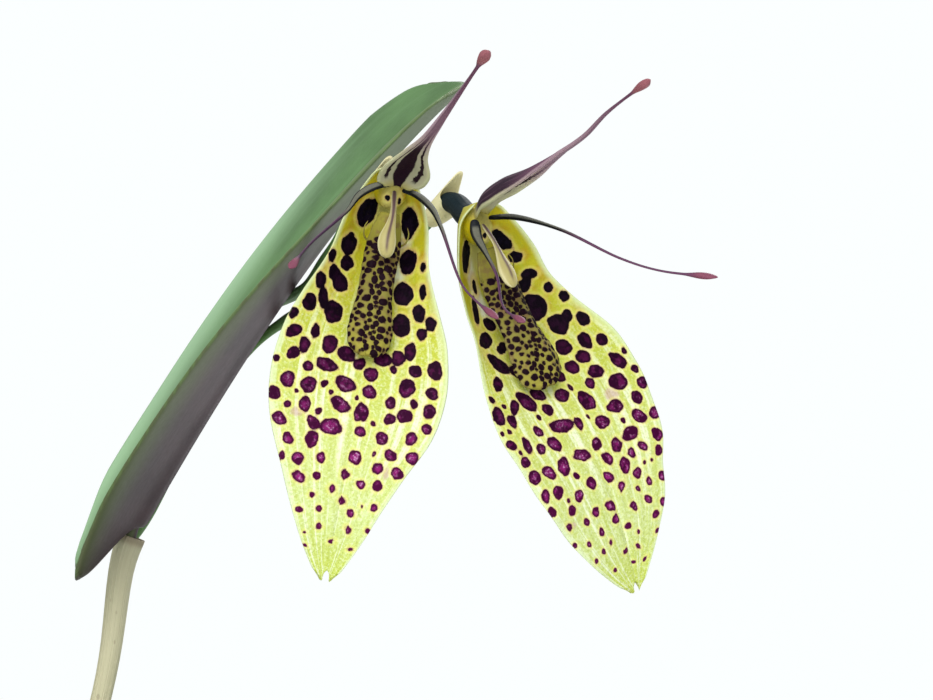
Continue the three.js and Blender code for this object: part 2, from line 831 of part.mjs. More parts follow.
for (const bloom of BLOOMS) {
  const group = new THREE.Group();
  group.position.set(...bloom.at);
  group.rotation.set(rad(bloom.pitch), rad(bloom.roll), rad(bloom.yaw), "YXZ");
  group.updateMatrix();
  plant.add(group);
  const name = (piece) => `bloom_${bloom.name}_${piece}`;
  place(name("synsepal"), synsepal(bloom.slim), spottedYellow, group);
  place(name("dorsal_sepal"), dorsalSepal(bloom.dorsal), stripedCream, group);
  for (const [side, path] of Object.entries(bloom.petals))
    place(name(`petal_${side}`), petal(path), petalSkin, group);
  place(name("lip"), lip(), lipSkin, group);
  place(name("column"), column(), columnSkin, group);
  place(name("ovary"), ovary(bloom.ovary), ovarySkin, group);
  place(name("bract"), bract(bloom.bract), bractPaper, group);
  const [foot, mouth] = bloom.bract.map((p) => vec(...p));
  const end = foot.clone().addScaledVector(mouth.sub(foot).normalize(), -GAP).applyMatrix4(group.matrix);
  place(name("peduncle"), tube([...bloom.peduncle, end.toArray()], PEDUNCLE_RADIUS, 7, 18), stalkSkin);
}

place("pot", pot(), clay);
place("bark", barkFill(), bark);
place("rhizome", geometryOf(rhizome(0)), rootSkin);

export default plant;
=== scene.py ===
# A restrepia orchid in a clay pot, dressed for the photograph: spotted blooms, leathery leaf, sheathed stems.
import math
from contextlib import contextmanager

import bpy
import numpy as np
from mathutils import Euler, Matrix, Vector


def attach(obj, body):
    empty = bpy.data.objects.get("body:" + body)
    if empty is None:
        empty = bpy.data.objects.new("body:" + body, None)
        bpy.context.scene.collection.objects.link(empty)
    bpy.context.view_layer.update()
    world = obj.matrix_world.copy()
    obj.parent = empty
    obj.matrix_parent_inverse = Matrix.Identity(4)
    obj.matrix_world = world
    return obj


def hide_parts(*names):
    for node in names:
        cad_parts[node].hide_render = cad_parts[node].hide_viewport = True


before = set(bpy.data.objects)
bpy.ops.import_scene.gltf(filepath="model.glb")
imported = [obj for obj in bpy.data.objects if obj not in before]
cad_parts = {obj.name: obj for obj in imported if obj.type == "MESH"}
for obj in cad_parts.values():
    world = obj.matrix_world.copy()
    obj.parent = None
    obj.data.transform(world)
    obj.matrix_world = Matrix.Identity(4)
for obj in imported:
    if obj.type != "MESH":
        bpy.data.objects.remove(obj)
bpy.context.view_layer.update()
bpy.ops.object.select_all(action="DESELECT")

# Sizes below are in millimetres, and MM turns them into metres.
MM = 0.001

# Camera: the photograph's width in pixels, and its focal length in them.
PHOTO_WIDTH = 933
FOCAL_PIXELS = 4680
SENSOR_WIDTH = 36
CAMERA_PLACE = (29.5, -278, 136.7)

# Lamps: name, place, size across and power, in metres and watts. They shine on the blooms.
LAMPS = (
    ("window_lamp", (-0.05, -0.5, 0.5), 0.4, 5.0),
    ("back_lamp", (0.3, 0.5, 0.5), 0.5, 4.0),
)
LAMP_TARGET = (0.025, 0, 0.135)
SKY_SEEN = (0.97, 1, 1, 1)
SKY_LIGHT = (0.93, 0.98, 1, 1)
SKY_STRENGTH = 0.72
FLOOR_RADIUS = 1200
FLOOR_SINK = 0.2

# Pot and bark.
POT_HEIGHT = 68
POT_BASE_RADIUS = 25
POT_SHOULDER_RADIUS = 33
POT_RIM_RADIUS = 37.5
POT_RIM_HEIGHT = 16
POT_INSIDE_LOW = 21.9
POT_INSIDE_HIGH = 30.8
POT_FLOOR = 5
POT_ROUNDING = 1.2
DRAIN_RADIUS = 3
DRAIN_CIRCLE = 13
DRAIN_COUNT = 4
BARK_TOP = 60
BARK_GAP = 0.3
BARK_BED_DROP = 1
CHIP_SIZES = ((8.0, 5.0, 2.4), (6.4, 4.2, 2.8), (9.2, 4.4, 2.2), (5.2, 3.8, 2.2))
CHIP_COUNT = 150
CHIP_SPREAD = 26.3
CHIP_TILT = 0.45
# Turn from one chip to the next, in radians, which spreads them evenly.
GOLDEN_TURN = 2.39996
# Round a foot or the rhizome the chips lie lower.
CLEAR_REACH = 4
CLEAR_DROP = 1.6

# Rhizome and roots.
KNUCKLE_RADIUS = 1.9
RHIZOME_RADIUS = 1.3
ROOT_RADIUS = 0.6
ROOT_COUNT = 6
ROOT_REACH = (7, 12)
ROOT_RISE = (1.5, 2.5)
ROOT_DIVE = 24
CREEP = (2, 1, 0, 8)
CREEP_BRANCH = (2, 3, 4, 5, 6, 7)

# Stems and leaves.
STEM_RADIUS = 0.64
SHEATH_LENGTH = 11.5
SHEATH_FLARE = 0.24
STEM_FLATNESS = 0.85
PETIOLE_LENGTH = 2.4
PETIOLE_RADIUS = 0.55
PETIOLE_RUN = 2.4
LEAF_FOLD = 12
LOBE_FOLD = 11
LEAF_ROLL_START = 0.35
MIDRIB_STRAIGHT = 0.7
TIP_ROUNDING = 1.4
TIP_THINNING = 0.65
LEAF_HALF_THICK = 0.5
LEAF_EDGE_HALF_THICK = 0.24
LEAF_GROOVE = 0.3
LEAF_RIPPLE = 0.12
LEAF_OUTLINE = (
    (0, 0.54), (0.1, 0.8), (0.26, 0.96), (0.42, 1), (0.62, 0.94), (0.8, 0.76), (0.93, 0.54), (0.98, 0.38),
    (1, 0.24),
)
# One sheath of a stem: share of its length, flare and how brown its torn mouth is there.
SHEATH = (
    (0.0, -0.1, 0), (0.2, 0.0, 0), (0.4, 0.15, 0), (0.6, 0.35, 0), (0.8, 0.6, 0), (0.92, 0.9, 0.5),
    (0.985, 1.1, 1), (1.0, 1.05, 1), (0.99, 0.8, 1), (0.9, 0.3, 0.6),
)

# Each leafy stem: foot, direction, height to the leaf and lean there, its leaf and how far one half sags.
STEM_FIELDS = (
    "name", "x", "y", "turn", "height", "lean", "leaf", "width", "tilt", "bend", "roll", "lobe", "sag",
)
STEMS = (
    ("flowering", -3, 7, 0, 66, 12.1, 34.4, 20, 30, 24, 13, 4.3, 0.7),
    ("1", -9, 3, 148, 66, 15, 40, 21, 22, 20, 3, 3.6, 0),
    ("2", -14, -2, 192, 55, 15, 42, 22, 34, 26, -5, 3.8, 0),
    ("3", -10, -9, 236, 47, 10, 39, 20, 28, 22, 4, 3.4, 0),
    ("4", -3, -12, 283, 27, 9, 33, 18, 38, 26, -4, 3.2, 0),
    ("5", 4, -9, 320, 22, 8, 33.4, 17.6, 36, 25, -4, 3.2, 0),
    ("6", 9, -3, 8, 23, 7, 35, 19, 36, 30, -3, 3.4, 0),
    ("7", 10, 5, 52, 25, 8, 33, 18, 33, 24, 4, 3.2, 0),
    ("8", -8, 11, 112, 43, 13, 37, 20, 36, 24, -5, 3.4, 0),
)

# Fused side sepals of a bloom: a sheet that starts a little above its bloom's middle.
# Distance down the sheet against set back and cupping.
SYNSEPAL_LENGTH = 22.6
SYNSEPAL_RISE = 0.9
SYNSEPAL_SET_BACK = (
    (-0.9, 0.6), (0, 1), (3, 1.8), (6, 1.2), (10, -0.5), (15, -1.7), (19, -1.5), (22.6, -0.6),
)
SYNSEPAL_CUP = ((0, 1.2), (3, 1.7), (7, 1.2), (11, 0.6), (16, 0.3), (22.6, 0.25))
SYNSEPAL_HALF_THICK = 0.24
SYNSEPAL_NOTCH = 0.7
SYNSEPAL_WAVE = 0.05
SYNSEPAL_RIB = 0.018
SYNSEPAL_CREASE = 0.12

# Small hub in which the sepals, petals and column meet: its middle and its half sizes.
HUB_MIDDLE = (-0.05, 0.4, -0.3)
HUB_HALF_SIZE = (0.95, 0.75, 1.15)
HUB_DOTS = ((-0.2, 0.95, 0.15, 0.15, 0), (0.5, 0.95, 0.2, 0.1, 0))

# Petal, dorsal sepal, lip, column, ovary: share of length against half width, half thickness or radius.
DORSAL_HALF_THICK = (
    (0, 0.1), (0.3, 0.12), (0.5, 0.12), (0.75, 0.09), (0.9, 0.08), (0.95, 0.2), (0.98, 0.2), (1, 0.04),
)
PETAL_HALF_WIDTH = (
    (0, 0.12), (0.02, 0.25), (0.08, 0.32), (0.16, 0.26), (0.26, 0.15), (0.4, 0.1), (0.6, 0.08), (0.86, 0.08),
    (0.93, 0.2), (0.97, 0.23), (1, 0.04),
)
PETAL_HALF_DEPTH = ((0, 0.1), (0.1, 0.11), (0.3, 0.09), (0.86, 0.07), (0.94, 0.18), (1, 0.04))
LIP_START = 1.7
LIP_LENGTH = 8.35
LIP_SET_BACK = ((1.7, 0.3), (3.5, 0), (5.9, -0.35), (8.25, -0.95), (10.05, -1.3))
LIP_HALF_THICK = 0.22
LIP_KEEL = 0.1
LIP_WART = 0.035
LIP_HALF_WIDTH = (
    (0, 0.6), (0.12, 0.95), (0.25, 1.12), (0.42, 1.1), (0.58, 1.12), (0.8, 1.42), (0.9, 1.36), (0.96, 1.08),
    (1, 0.35),
)
# Two horns on the lip: out from its middle line, towards the front and up from the bloom's middle.
HORN_ROOT_DOWN = 3.2
HORN = ((0.85, 0, -3.5), (1.15, 0.2, -3.3), (1.25, 0.35, -2.8), (1.1, 0.4, -2.4))
HORN_RADIUS = ((0, 0.07), (0.5, 0.045), (1, 0.02))
COLUMN_RADIUS = (
    (0, 0.1), (0.1, 0.15), (0.35, 0.17), (0.55, 0.3), (0.75, 0.5), (0.88, 0.46), (0.96, 0.3), (1, 0.05),
)
COLUMN_FLATNESS = 0.6
OVARY_RADIUS = ((0, 0.6), (0.12, 0.68), (0.6, 0.66), (0.9, 0.56), (1, 0.42))
BRACT_RADIUS = ((0, 0.05), (0.06, 0.4), (0.35, 0.65), (0.7, 0.78), (1, 0.84))
BRACT_WALL = 0.09
BRACT_POINT_FROM = 0.35
PEDUNCLE_RADIUS = 0.34

# Small spots of a sheet, scattered between two distances down it: half width and gap there, and rounds of
# tries, each with its number of tries and the range of its sizes.
SPOTS_FROM = 9.4
SPOTS_TO = 21.2
SPOTS_REACH = 0.97
SPOT_SIZE = ((9, 0.4), (12, 0.38), (14, 0.36), (17, 0.27), (19.5, 0.17), (21, 0.12))
SPOT_GAP = ((9, 0.15), (12, 0.22), (14, 0.32), (17, 0.55), (19.5, 1), (21, 1.5))
SPOT_ROUNDS = ((1000, 0.8, 1.2), (300, 0.35, 0.65))
SPOT_LEAN = 60
# Most spots this close to the middle line are left out from this distance on.
MIDLINE_HALF_WIDTH = 0.3
MIDLINE_FROM = 11
MIDLINE_LEFT_OUT = 0.7
# How far two spots that touch run into each other.
SPOT_MERGING = 0.03
# Waves in a spot's edge: how many go round it, how far they turn from spot to spot, and their height.
SPOT_WAVES = ((3, 1.7, 0.04), (5, 2.9, 0.02))
# Warts of the lip: tries, and the range of their distance down, size and lean.
WART_TRIES = 2500
WARTS_DOWN = (1.7, 8.2)
WART_SIZE = (0.07, 0.16)
WART_GAP = 0.08
WART_LEAN = 80

# Each bloom in its own frame: +X its right, -Y its front, +Z its top. The peduncle is in the part's frame.
# A main spot of a sheet: its place across and down, half length, half width, and how far its top leans to
# the right.
BLOOMS = (
    {
        "name": "bloom_left",
        "at": (25.45, -18, 146),
        "roll": 9.7,
        "pitch": -8,
        "yaw": 5,
        "seed": 12,
        "left_edge": (
            (-0.9, 0.2), (-0.5, 1), (0, 1.4), (2, 2.3), (4.5, 2.9), (7, 4), (9, 4.7), (11.5, 5), (14, 4.7),
            (17, 3.5), (20, 2.1), (21.5, 1.2), (22.6, 0.4),
        ),
        "right_edge": (
            (-0.9, 0.2), (-0.5, 1), (0, 1.4), (2, 2.3), (4.5, 2.8), (7, 3.8), (9, 4.5), (11.5, 4.8),
            (14, 4.4), (16.5, 3.2), (18.5, 2.3), (20, 1.7), (21.5, 1), (22.6, 0.4),
        ),
        "spots": (
            (-1.2, 1.7, 0.9, 0.5, 20), (-1.9, 3.7, 0.65, 0.45, 10), (-1.8, 4.8, 0.45, 0.4, 0),
            (-2.7, 4.6, 0.4, 0.2, 10), (-2.4, 5.5, 0.5, 0.35, -20), (-2, 6, 0.6, 0.45, -20),
            (-3.1, 6.1, 0.5, 0.3, 0), (-2.8, 7.1, 0.65, 0.3, -10), (-3.5, 7.5, 0.55, 0.4, 0),
            (-2.1, 7.8, 0.7, 0.55, -10), (-4.3, 8.3, 0.35, 0.3, 0), (-4.1, 9.3, 0.5, 0.35, 50),
            (-2.9, 9.1, 0.45, 0.25, 0), (-3.4, 10, 0.5, 0.3, 0), (-2, 9.7, 0.55, 0.45, 10),
            (-1, 10.1, 0.55, 0.45, 110), (-2, 10.9, 0.65, 0.4, 100), (1.4, 1.9, 0.9, 0.45, -10),
            (1.7, 4.1, 0.75, 0.45, 0), (2.5, 4.3, 0.3, 0.15, 0), (1.7, 6, 0.7, 0.55, 0),
            (2.7, 5.7, 0.45, 0.2, -10), (2.7, 7, 0.55, 0.35, -10), (1.8, 7.9, 0.7, 0.55, 0),
            (3.4, 7.5, 0.45, 0.3, -10), (3, 8.2, 0.4, 0.3, 0), (2.5, 9.3, 0.55, 0.35, 0),
            (1, 10, 0.55, 0.45, 100), (1.9, 9.8, 0.45, 0.4, 0), (-4, 12.1, 0.5, 0.4, 0),
            (-2.8, 12.2, 0.5, 0.45, 30), (-0.8, 11.8, 0.6, 0.45, 110), (-0.9, 13, 0.6, 0.4, 120),
            (-1.2, 14.3, 0.65, 0.45, 90), (2.7, 13, 0.45, 0.4, 80), (4, 12.5, 0.45, 0.35, 0),
        ),
        "faint_spots": ((-3.2, 13.8, 0.4, 0.3, 90), (2.2, 16.3, 0.4, 0.2, 0), (-2.4, 17.4, 0.3, 0.25, 0)),
        "pale_patch": (1.3, 0.3),
        "dorsal": (
            (0.2, -0.3, -0.2), (0.2, -0.8, 0.3), (0.3, -1.6, 0.7), (0.5, -3.6, 1.2), (1, -6.8, 1.7),
            (1.8, -15, 3.1), (2.3, -20.4, 4.1),
        ),
        "dorsal_half_width": (
            (0, 0.6), (0.04, 1.2), (0.1, 1.4), (0.14, 1.3), (0.2, 0.8), (0.3, 0.4), (0.45, 0.25),
            (0.65, 0.15), (0.88, 0.1), (0.93, 0.25), (0.97, 0.3), (1, 0.05),
        ),
        "hood": 0.75,
        "petals": {
            "left": (
                (-0.2, -0.5, -0.2), (-1, -0.7, -0.5), (-1.8, -1.1, -1.2), (-2.4, -2.1, -2.4),
                (-4.2, -5, -5), (-5.2, -7.2, -6.9),
            ),
            "right": (
                (0.5, -0.5, -0.4), (1.3, -0.9, -0.6), (2.2, -1.6, -1.3), (2.8, -2.7, -2.4),
                (4.2, -6.2, -5.9), (5, -7.3, -6.8), (6.2, -8.9, -7.8),
            ),
        },
        "column": ((0.1, -0.4, -0.5), (0.2, -1, -2), (0.1, -1.4, -3.5), (0.2, -1.5, -4.5)),
        "lip_middle": ((1.7, 0.1), (6, 0), (10, 0.1)),
        "lip_width": 0.88,
        "ovary": ((0, 0.3, 0.3), (-0.1, 1.9, 0.5), (-0.3, 3.6, 0.1), (-0.5, 4.6, -0.3)),
        "bract": ((-1.6, 6.6, -1.6), (-0.5, 4, 0), (-0.2, 3, 2)),
        "peduncle": (
            (8.2, 7.6, 124.6), (9.1, 10.6, 126.8), (11.7, 12.3, 131.8), (14.9, 12.9, 137),
            (17.4, 11.2, 139.3), (19.7, 6, 140.5), (22.2, -3, 143.6),
        ),
    },
    {
        "name": "bloom_right",
        "at": (30.2, -16.5, 144),
        "roll": -22,
        "pitch": 1.5,
        "yaw": 36,
        "seed": 31,
        "left_edge": (
            (-0.9, 0.2), (-0.5, 1.1), (0, 1.6), (2.5, 2.7), (4.5, 3.2), (6, 3.5), (8, 4.4), (10, 5.2),
            (12, 5.4), (14, 5.2), (16, 4.8), (18, 4.1), (20, 3), (21.5, 1.7), (22.6, 0.5),
        ),
        "right_edge": (
            (-0.9, 0.2), (-0.5, 1.2), (0, 1.8), (2.5, 3), (4.5, 3.3), (7, 4.6), (9, 5.4), (11, 5.5),
            (13, 5.3), (15, 4.8), (16.5, 4.1), (18.5, 3.3), (20, 2.3), (21.5, 1.1), (22.6, 0.3),
        ),
        "spots": (
            (1.6, 1.5, 0.75, 0.3, -30), (2.1, 2.7, 0.4, 0.3, -40), (2.4, 3.9, 0.4, 0.3, -70),
            (2, 4.4, 0.45, 0.3, 30), (3, 5, 0.3, 0.25, 0), (3.6, 5.8, 0.35, 0.25, -10),
            (1.9, 5.8, 0.85, 0.7, 30), (2.6, 7.2, 0.65, 0.6, 30), (3.3, 6.9, 0.4, 0.3, 30),
            (4, 7.4, 0.45, 0.35, 0), (2, 8.5, 0.55, 0.45, 60), (3.4, 8.6, 0.5, 0.4, 10),
            (4.3, 8.9, 0.4, 0.35, 20), (1.7, 9.7, 0.5, 0.4, 90), (2.7, 9.4, 0.5, 0.4, 90),
            (2.9, 10.4, 0.5, 0.4, 100), (4.5, 10.3, 0.55, 0.4, -20), (3.8, 11.4, 0.6, 0.5, 90),
            (-1.2, 1.6, 1, 0.45, 30), (-1.1, 3.4, 0.45, 0.2, 20), (-2.1, 4.7, 0.95, 0.3, 30),
            (-2.6, 6.4, 0.7, 0.45, 80), (-1.5, 5.7, 0.5, 0.4, -60), (-2.7, 7.9, 0.85, 0.45, -30),
            (-1.7, 7.2, 0.5, 0.3, 70), (-3.6, 8.9, 0.5, 0.35, 50), (-1.7, 8.8, 0.6, 0.4, -50),
            (-2.4, 10.4, 0.75, 0.45, -30), (-1.4, 10.3, 0.5, 0.4, -60), (-3.4, 10.4, 0.5, 0.3, 50),
            (1.3, 11.7, 0.6, 0.5, -20), (0, 10.9, 0.5, 0.4, 90), (2.8, 12.6, 0.55, 0.4, 90),
            (3.9, 13.6, 0.5, 0.4, -40), (1.5, 13.1, 0.5, 0.4, 90), (-1.1, 12.4, 0.85, 0.4, 100),
            (2.8, 14.3, 0.6, 0.4, 80), (-0.9, 14.3, 0.6, 0.35, 110), (-4, 12.6, 0.5, 0.3, 10),
        ),
        "faint_spots": ((3, 11.9, 0.5, 0.4, 90), (-3.1, 16.9, 0.3, 0.2, 0), (-3.3, 17.6, 0.2, 0.2, 0)),
        "pale_patch": (-0.8, 0.4),
        "dorsal": (
            (-0.1, -0.2, 0.5), (-0.1, -1.5, 1.2), (-0.1, -3.3, 1.5), (-0.8, -7.3, 1.5), (-1.8, -13.7, 2),
            (-2.2, -16.9, 2.7), (-2.9, -22.1, 3.4),
        ),
        "dorsal_half_width": (
            (0, 0.45), (0.05, 0.7), (0.12, 1), (0.2, 1.05), (0.3, 0.9), (0.4, 0.65), (0.5, 0.4),
            (0.65, 0.2), (0.8, 0.1), (0.9, 0.1), (0.94, 0.2), (0.97, 0.25), (1, 0.05),
        ),
        "hood": 1.1,
        "petals": {
            "left": (
                (-0.6, -0.4, 0.1), (-1.1, -0.7, -0.8), (-1.5, -1.4, -1.8), (-2.4, -2.8, -3.2),
                (-4.1, -4.6, -5), (-4.6, -6.5, -6.1),
            ),
            "right": (
                (0.2, -0.6, -0.1), (0.8, -2, -0.6), (1.5, -4.6, -2.2), (2.4, -7.5, -4.9), (3.2, -9.3, -6.3),
                (4.8, -11.8, -7.8),
            ),
        },
        "column": ((-0.2, -0.4, -0.3), (-0.5, -1.2, -1.5), (-1, -1.9, -2.7), (-1.5, -2.6, -4.2)),
        "lip_middle": ((1.7, -0.1), (3.5, -0.4), (6, -0.6), (10, -1)),
        "lip_width": 1.12,
        "ovary": ((-0.1, 0.3, 0.1), (0.7, 1.9, 0.5), (1.5, 3.4, 1.2), (2.1, 5.1, 1.7)),
        "bract": ((1.3, 6.5, 0.9), (2.1, 4.7, 1.6), (2.9, 3.7, 2.9)),
        "peduncle": (
            (8.6, 7.2, 124.6), (10.2, 9.4, 127), (12.6, 10.3, 131.8), (15.5, 10.8, 136.2), (18.3, 8, 138.4),
            (22.6, -0.5, 140.2),
        ),
    },
)


def along(stops, place):
    """Value of a smooth line through (place, value) stops."""
    places, values = np.array(stops, float).T
    last = len(places) - 1
    before = np.maximum(np.arange(last + 1) - 1, 0)
    after = np.minimum(np.arange(last + 1) + 1, last)
    slopes = (values[after] - values[before]) / (places[after] - places[before])
    i = np.clip(np.searchsorted(places, place) - 1, 0, last - 1)
    span = places[i + 1] - places[i]
    t = np.clip((place - places[i]) / span, 0, 1)
    rise = t * t * (3 - 2 * t)
    lead = t * (1 - t) ** 2 * slopes[i] * span
    trail = t * t * (t - 1) * slopes[i + 1] * span
    return values[i] + (values[i + 1] - values[i]) * rise + lead + trail


def smooth(stops, factor=1):
    """The smooth line through stops as a function, times a factor."""
    return lambda place: along(stops, place) * factor


def unit(vectors):
    smallest = 1e-12
    return vectors / np.maximum(np.linalg.norm(vectors, axis=-1, keepdims=True), smallest)


class Way:
    """A smooth line through points, followed by share of its length."""

    steps = 60
    glance = 0.004

    def __init__(self, points):
        p = np.array(points, float)
        p = np.vstack([2 * p[0] - p[1], p, 2 * p[-1] - p[-2]])
        t = np.linspace(0, 1, self.steps, endpoint=False)[:, None]
        pieces = []
        for i in range(1, len(p) - 2):
            before, span, after = np.sqrt(np.linalg.norm(np.diff(p[i - 1 : i + 3], axis=0), axis=1))
            step = p[i + 1] - p[i]
            lead = ((p[i] - p[i - 1]) / before - (p[i + 1] - p[i - 1]) / (before + span) + step / span) * span
            trail = (step / span - (p[i + 2] - p[i]) / (span + after) + (p[i + 2] - p[i + 1]) / after) * span
            square = (3 * step - 2 * lead - trail) * t**2
            cube = (lead + trail - 2 * step) * t**3
            pieces.append(p[i] + lead * t + square + cube)
        self.points = np.vstack(pieces + [p[-2:-1]])
        lengths = np.linalg.norm(np.diff(self.points, axis=0), axis=1)
        self.shares = np.concatenate([[0], np.cumsum(lengths)]) / lengths.sum()

    def at(self, share):
        return np.stack([np.interp(share, self.shares, column) for column in self.points.T], -1)

    def heading(self, share):
        ahead = self.at(np.minimum(share + self.glance, 1))
        return unit(ahead - self.at(np.maximum(share - self.glance, 0)))


def flat_grid(name, columns, rows):
    """A flat grid from -1 to 1, with the x and y of its points. Blades and stalks are shaped from it."""
    bpy.ops.mesh.primitive_grid_add(x_subdivisions=columns, y_subdivisions=rows, size=2)
    piece = bpy.context.object
    piece.name = name
    x, y, _ = points_of(piece).T
    return piece, x, y


def points_of(piece):
    points = np.empty(len(piece.data.vertices) * 3, np.float32)
    piece.data.vertices.foreach_get("co", points)
    return points.reshape(-1, 3).astype(float)


def put_points(piece, points):
    piece.data.vertices.foreach_set("co", (points * MM).astype(np.float32).ravel())
    piece.data.update()


def keep_values(piece, **named):
    """Stores numbers at each point of a piece, for its material."""
    for name, values in named.items():
        attribute = piece.data.attributes.get(name) or piece.data.attributes.new(name, "FLOAT", "POINT")
        spread = np.broadcast_to(values, len(piece.data.vertices))
        attribute.data.foreach_set("value", spread.astype(np.float32))


def values_of(piece, name):
    """The numbers stored at the points of a piece."""
    values = np.empty(len(piece.data.vertices), np.float32)
    piece.data.attributes[name].data.foreach_get("value", values)
    return values.astype(float)


def select_only(*pieces):
    """Selects these pieces alone. The first of them is the active one."""
    bpy.ops.object.select_all(action="DESELECT")
    for piece in pieces:
        piece.select_set(True)
    bpy.context.view_layer.objects.active = pieces[0]


@contextmanager
def editing(piece):
    """Edits a piece's mesh, with all of it selected at first."""
    bpy.context.view_layer.objects.active = piece
    bpy.ops.object.mode_set(mode="EDIT")
    bpy.ops.mesh.select_all(action="SELECT")
    yield
    bpy.ops.object.mode_set(mode="OBJECT")


def close_up(piece):
    """Joins the edges that meet, turns every face outwards and shades the piece smooth."""
    with editing(piece):
        bpy.ops.mesh.remove_doubles(threshold=2e-6)
        bpy.ops.mesh.normals_make_consistent(inside=False)
    bpy.ops.object.shade_smooth()
    bpy.ops.object.select_all(action="DESELECT")
    return piece


def rounded(share, run):
    """Rises from 0 at share 0 like a quarter circle, and is 1 from share run on."""
    t = np.clip(share / run, 0, 1)
    return np.sqrt(t * (2 - t))


def blade(name, middle, half_thick, columns, rows, run):
    """A thin closed blade. middle(u, v) is its middle, u from 0 to 1 along it and v from -1 to 1 across."""
    piece, x, y = flat_grid(name, 2 * columns, rows)
    u = (y + 1) / 2
    front = x <= 0
    v = np.where(front, 2 * x + 1, 1 - 2 * x)
    small = 1e-3
    down = middle(np.minimum(u + small, 1), v) - middle(np.maximum(u - small, 0), v)
    across = middle(u, np.minimum(v + small, 1)) - middle(u, np.maximum(v - small, -1))
    normal = unit(np.cross(down, across))
    edge = np.sqrt(np.maximum(1 - np.abs(v) ** 6, 0))
    thick = half_thick(u, v) * edge * rounded(u, run) * rounded(1 - u, run)
    put_points(piece, middle(u, v) + normal * (np.where(front, 1, -1) * thick)[:, None])
    keep_values(piece, across=v, lengthwise=u, face=front)
    return piece, u, v, front


def stalk(name, way, width, facing, columns, rows, run, depth=None, place=lambda u: u):
    """A closed stalk round a way. width and depth give its radii, and facing is where its flat side looks.

    Without a depth the stalk is round. place says how far along the way each share of the stalk lies.
    """
    depth = depth or width
    piece, x, y = flat_grid(name, columns, rows)
    u = (y + 1) / 2
    angle = math.pi * (x + 1)
    share = place(u)
    heading = way.heading(share)
    side = unit(np.cross(heading, np.array(facing, float)))
    front = np.cross(side, heading)
    ends = rounded(u, run) * rounded(1 - u, run)
    out = side * (np.cos(angle) * width(u) * ends)[:, None]
    out += front * (np.sin(angle) * depth(u) * ends)[:, None]
    put_points(piece, way.at(share) + out)
    keep_values(piece, across=np.cos(angle), lengthwise=u, face=(np.sin(angle) + 1) / 2)
    return piece


def joined(pieces):
    """Joins pieces into the first."""
    select_only(*pieces)
    bpy.ops.object.join()
    bpy.ops.object.select_all(action="DESELECT")
    return pieces[0]


def apply_modifier(piece, kind, **settings):
    """Adds a modifier to a piece, and applies it."""
    modifier = piece.modifiers.new(kind.lower(), kind)
    for setting, value in settings.items():
        setattr(modifier, setting, value)
    bpy.context.view_layer.objects.active = piece
    bpy.ops.object.modifier_apply(modifier=modifier.name)


def hand_over(piece, material, node):
    """Gives a piece its material, hangs it on the root body and hides the part of model.glb that it stands
    for.
    """
    piece.data.materials.clear()
    piece.data.materials.append(material)
    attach(piece, "root")
    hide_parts(node)


# Materials.
def tint(code):
    """A colour of six hexadecimal digits, as Blender's linear colour."""
    channels = [int(code[i : i + 2], 16) / 255 for i in (0, 2, 4)]
    return (*[c / 12.92 if c <= 0.04045 else ((c + 0.055) / 1.055) ** 2.4 for c in channels], 1)


def operation(kind, swapped=False):
    """One of Value's operations: it adds the node that works out the result."""

    def calculate(self, other=0.0):
        first, second = (other, self) if swapped else (self, other)
        return self.skin.node("ShaderNodeMath", {"operation": kind}, {0: first, 1: second})

    return calculate


class Value:
    """A number on its way through a material's nodes. It adds and multiplies as a number does."""

    __add__ = operation("ADD")
    __radd__ = operation("ADD", swapped=True)
    __sub__ = operation("SUBTRACT")
    __rsub__ = operation("SUBTRACT", swapped=True)
    __mul__ = operation("MULTIPLY")
    __rmul__ = operation("MULTIPLY", swapped=True)
    __abs__ = operation("ABSOLUTE")
    larger = operation("MAXIMUM")

    def __init__(self, skin, socket):
        self.skin = skin
        self.socket = socket

    def between(self, low, high):
        """Rises smoothly from 0 where the value is low to 1 where it is high."""
        settings = {"interpolation_type": "SMOOTHSTEP"}
        sockets = {"Value": self, "From Min": low, "From Max": high}
        return self.skin.node("ShaderNodeMapRange", settings, sockets)


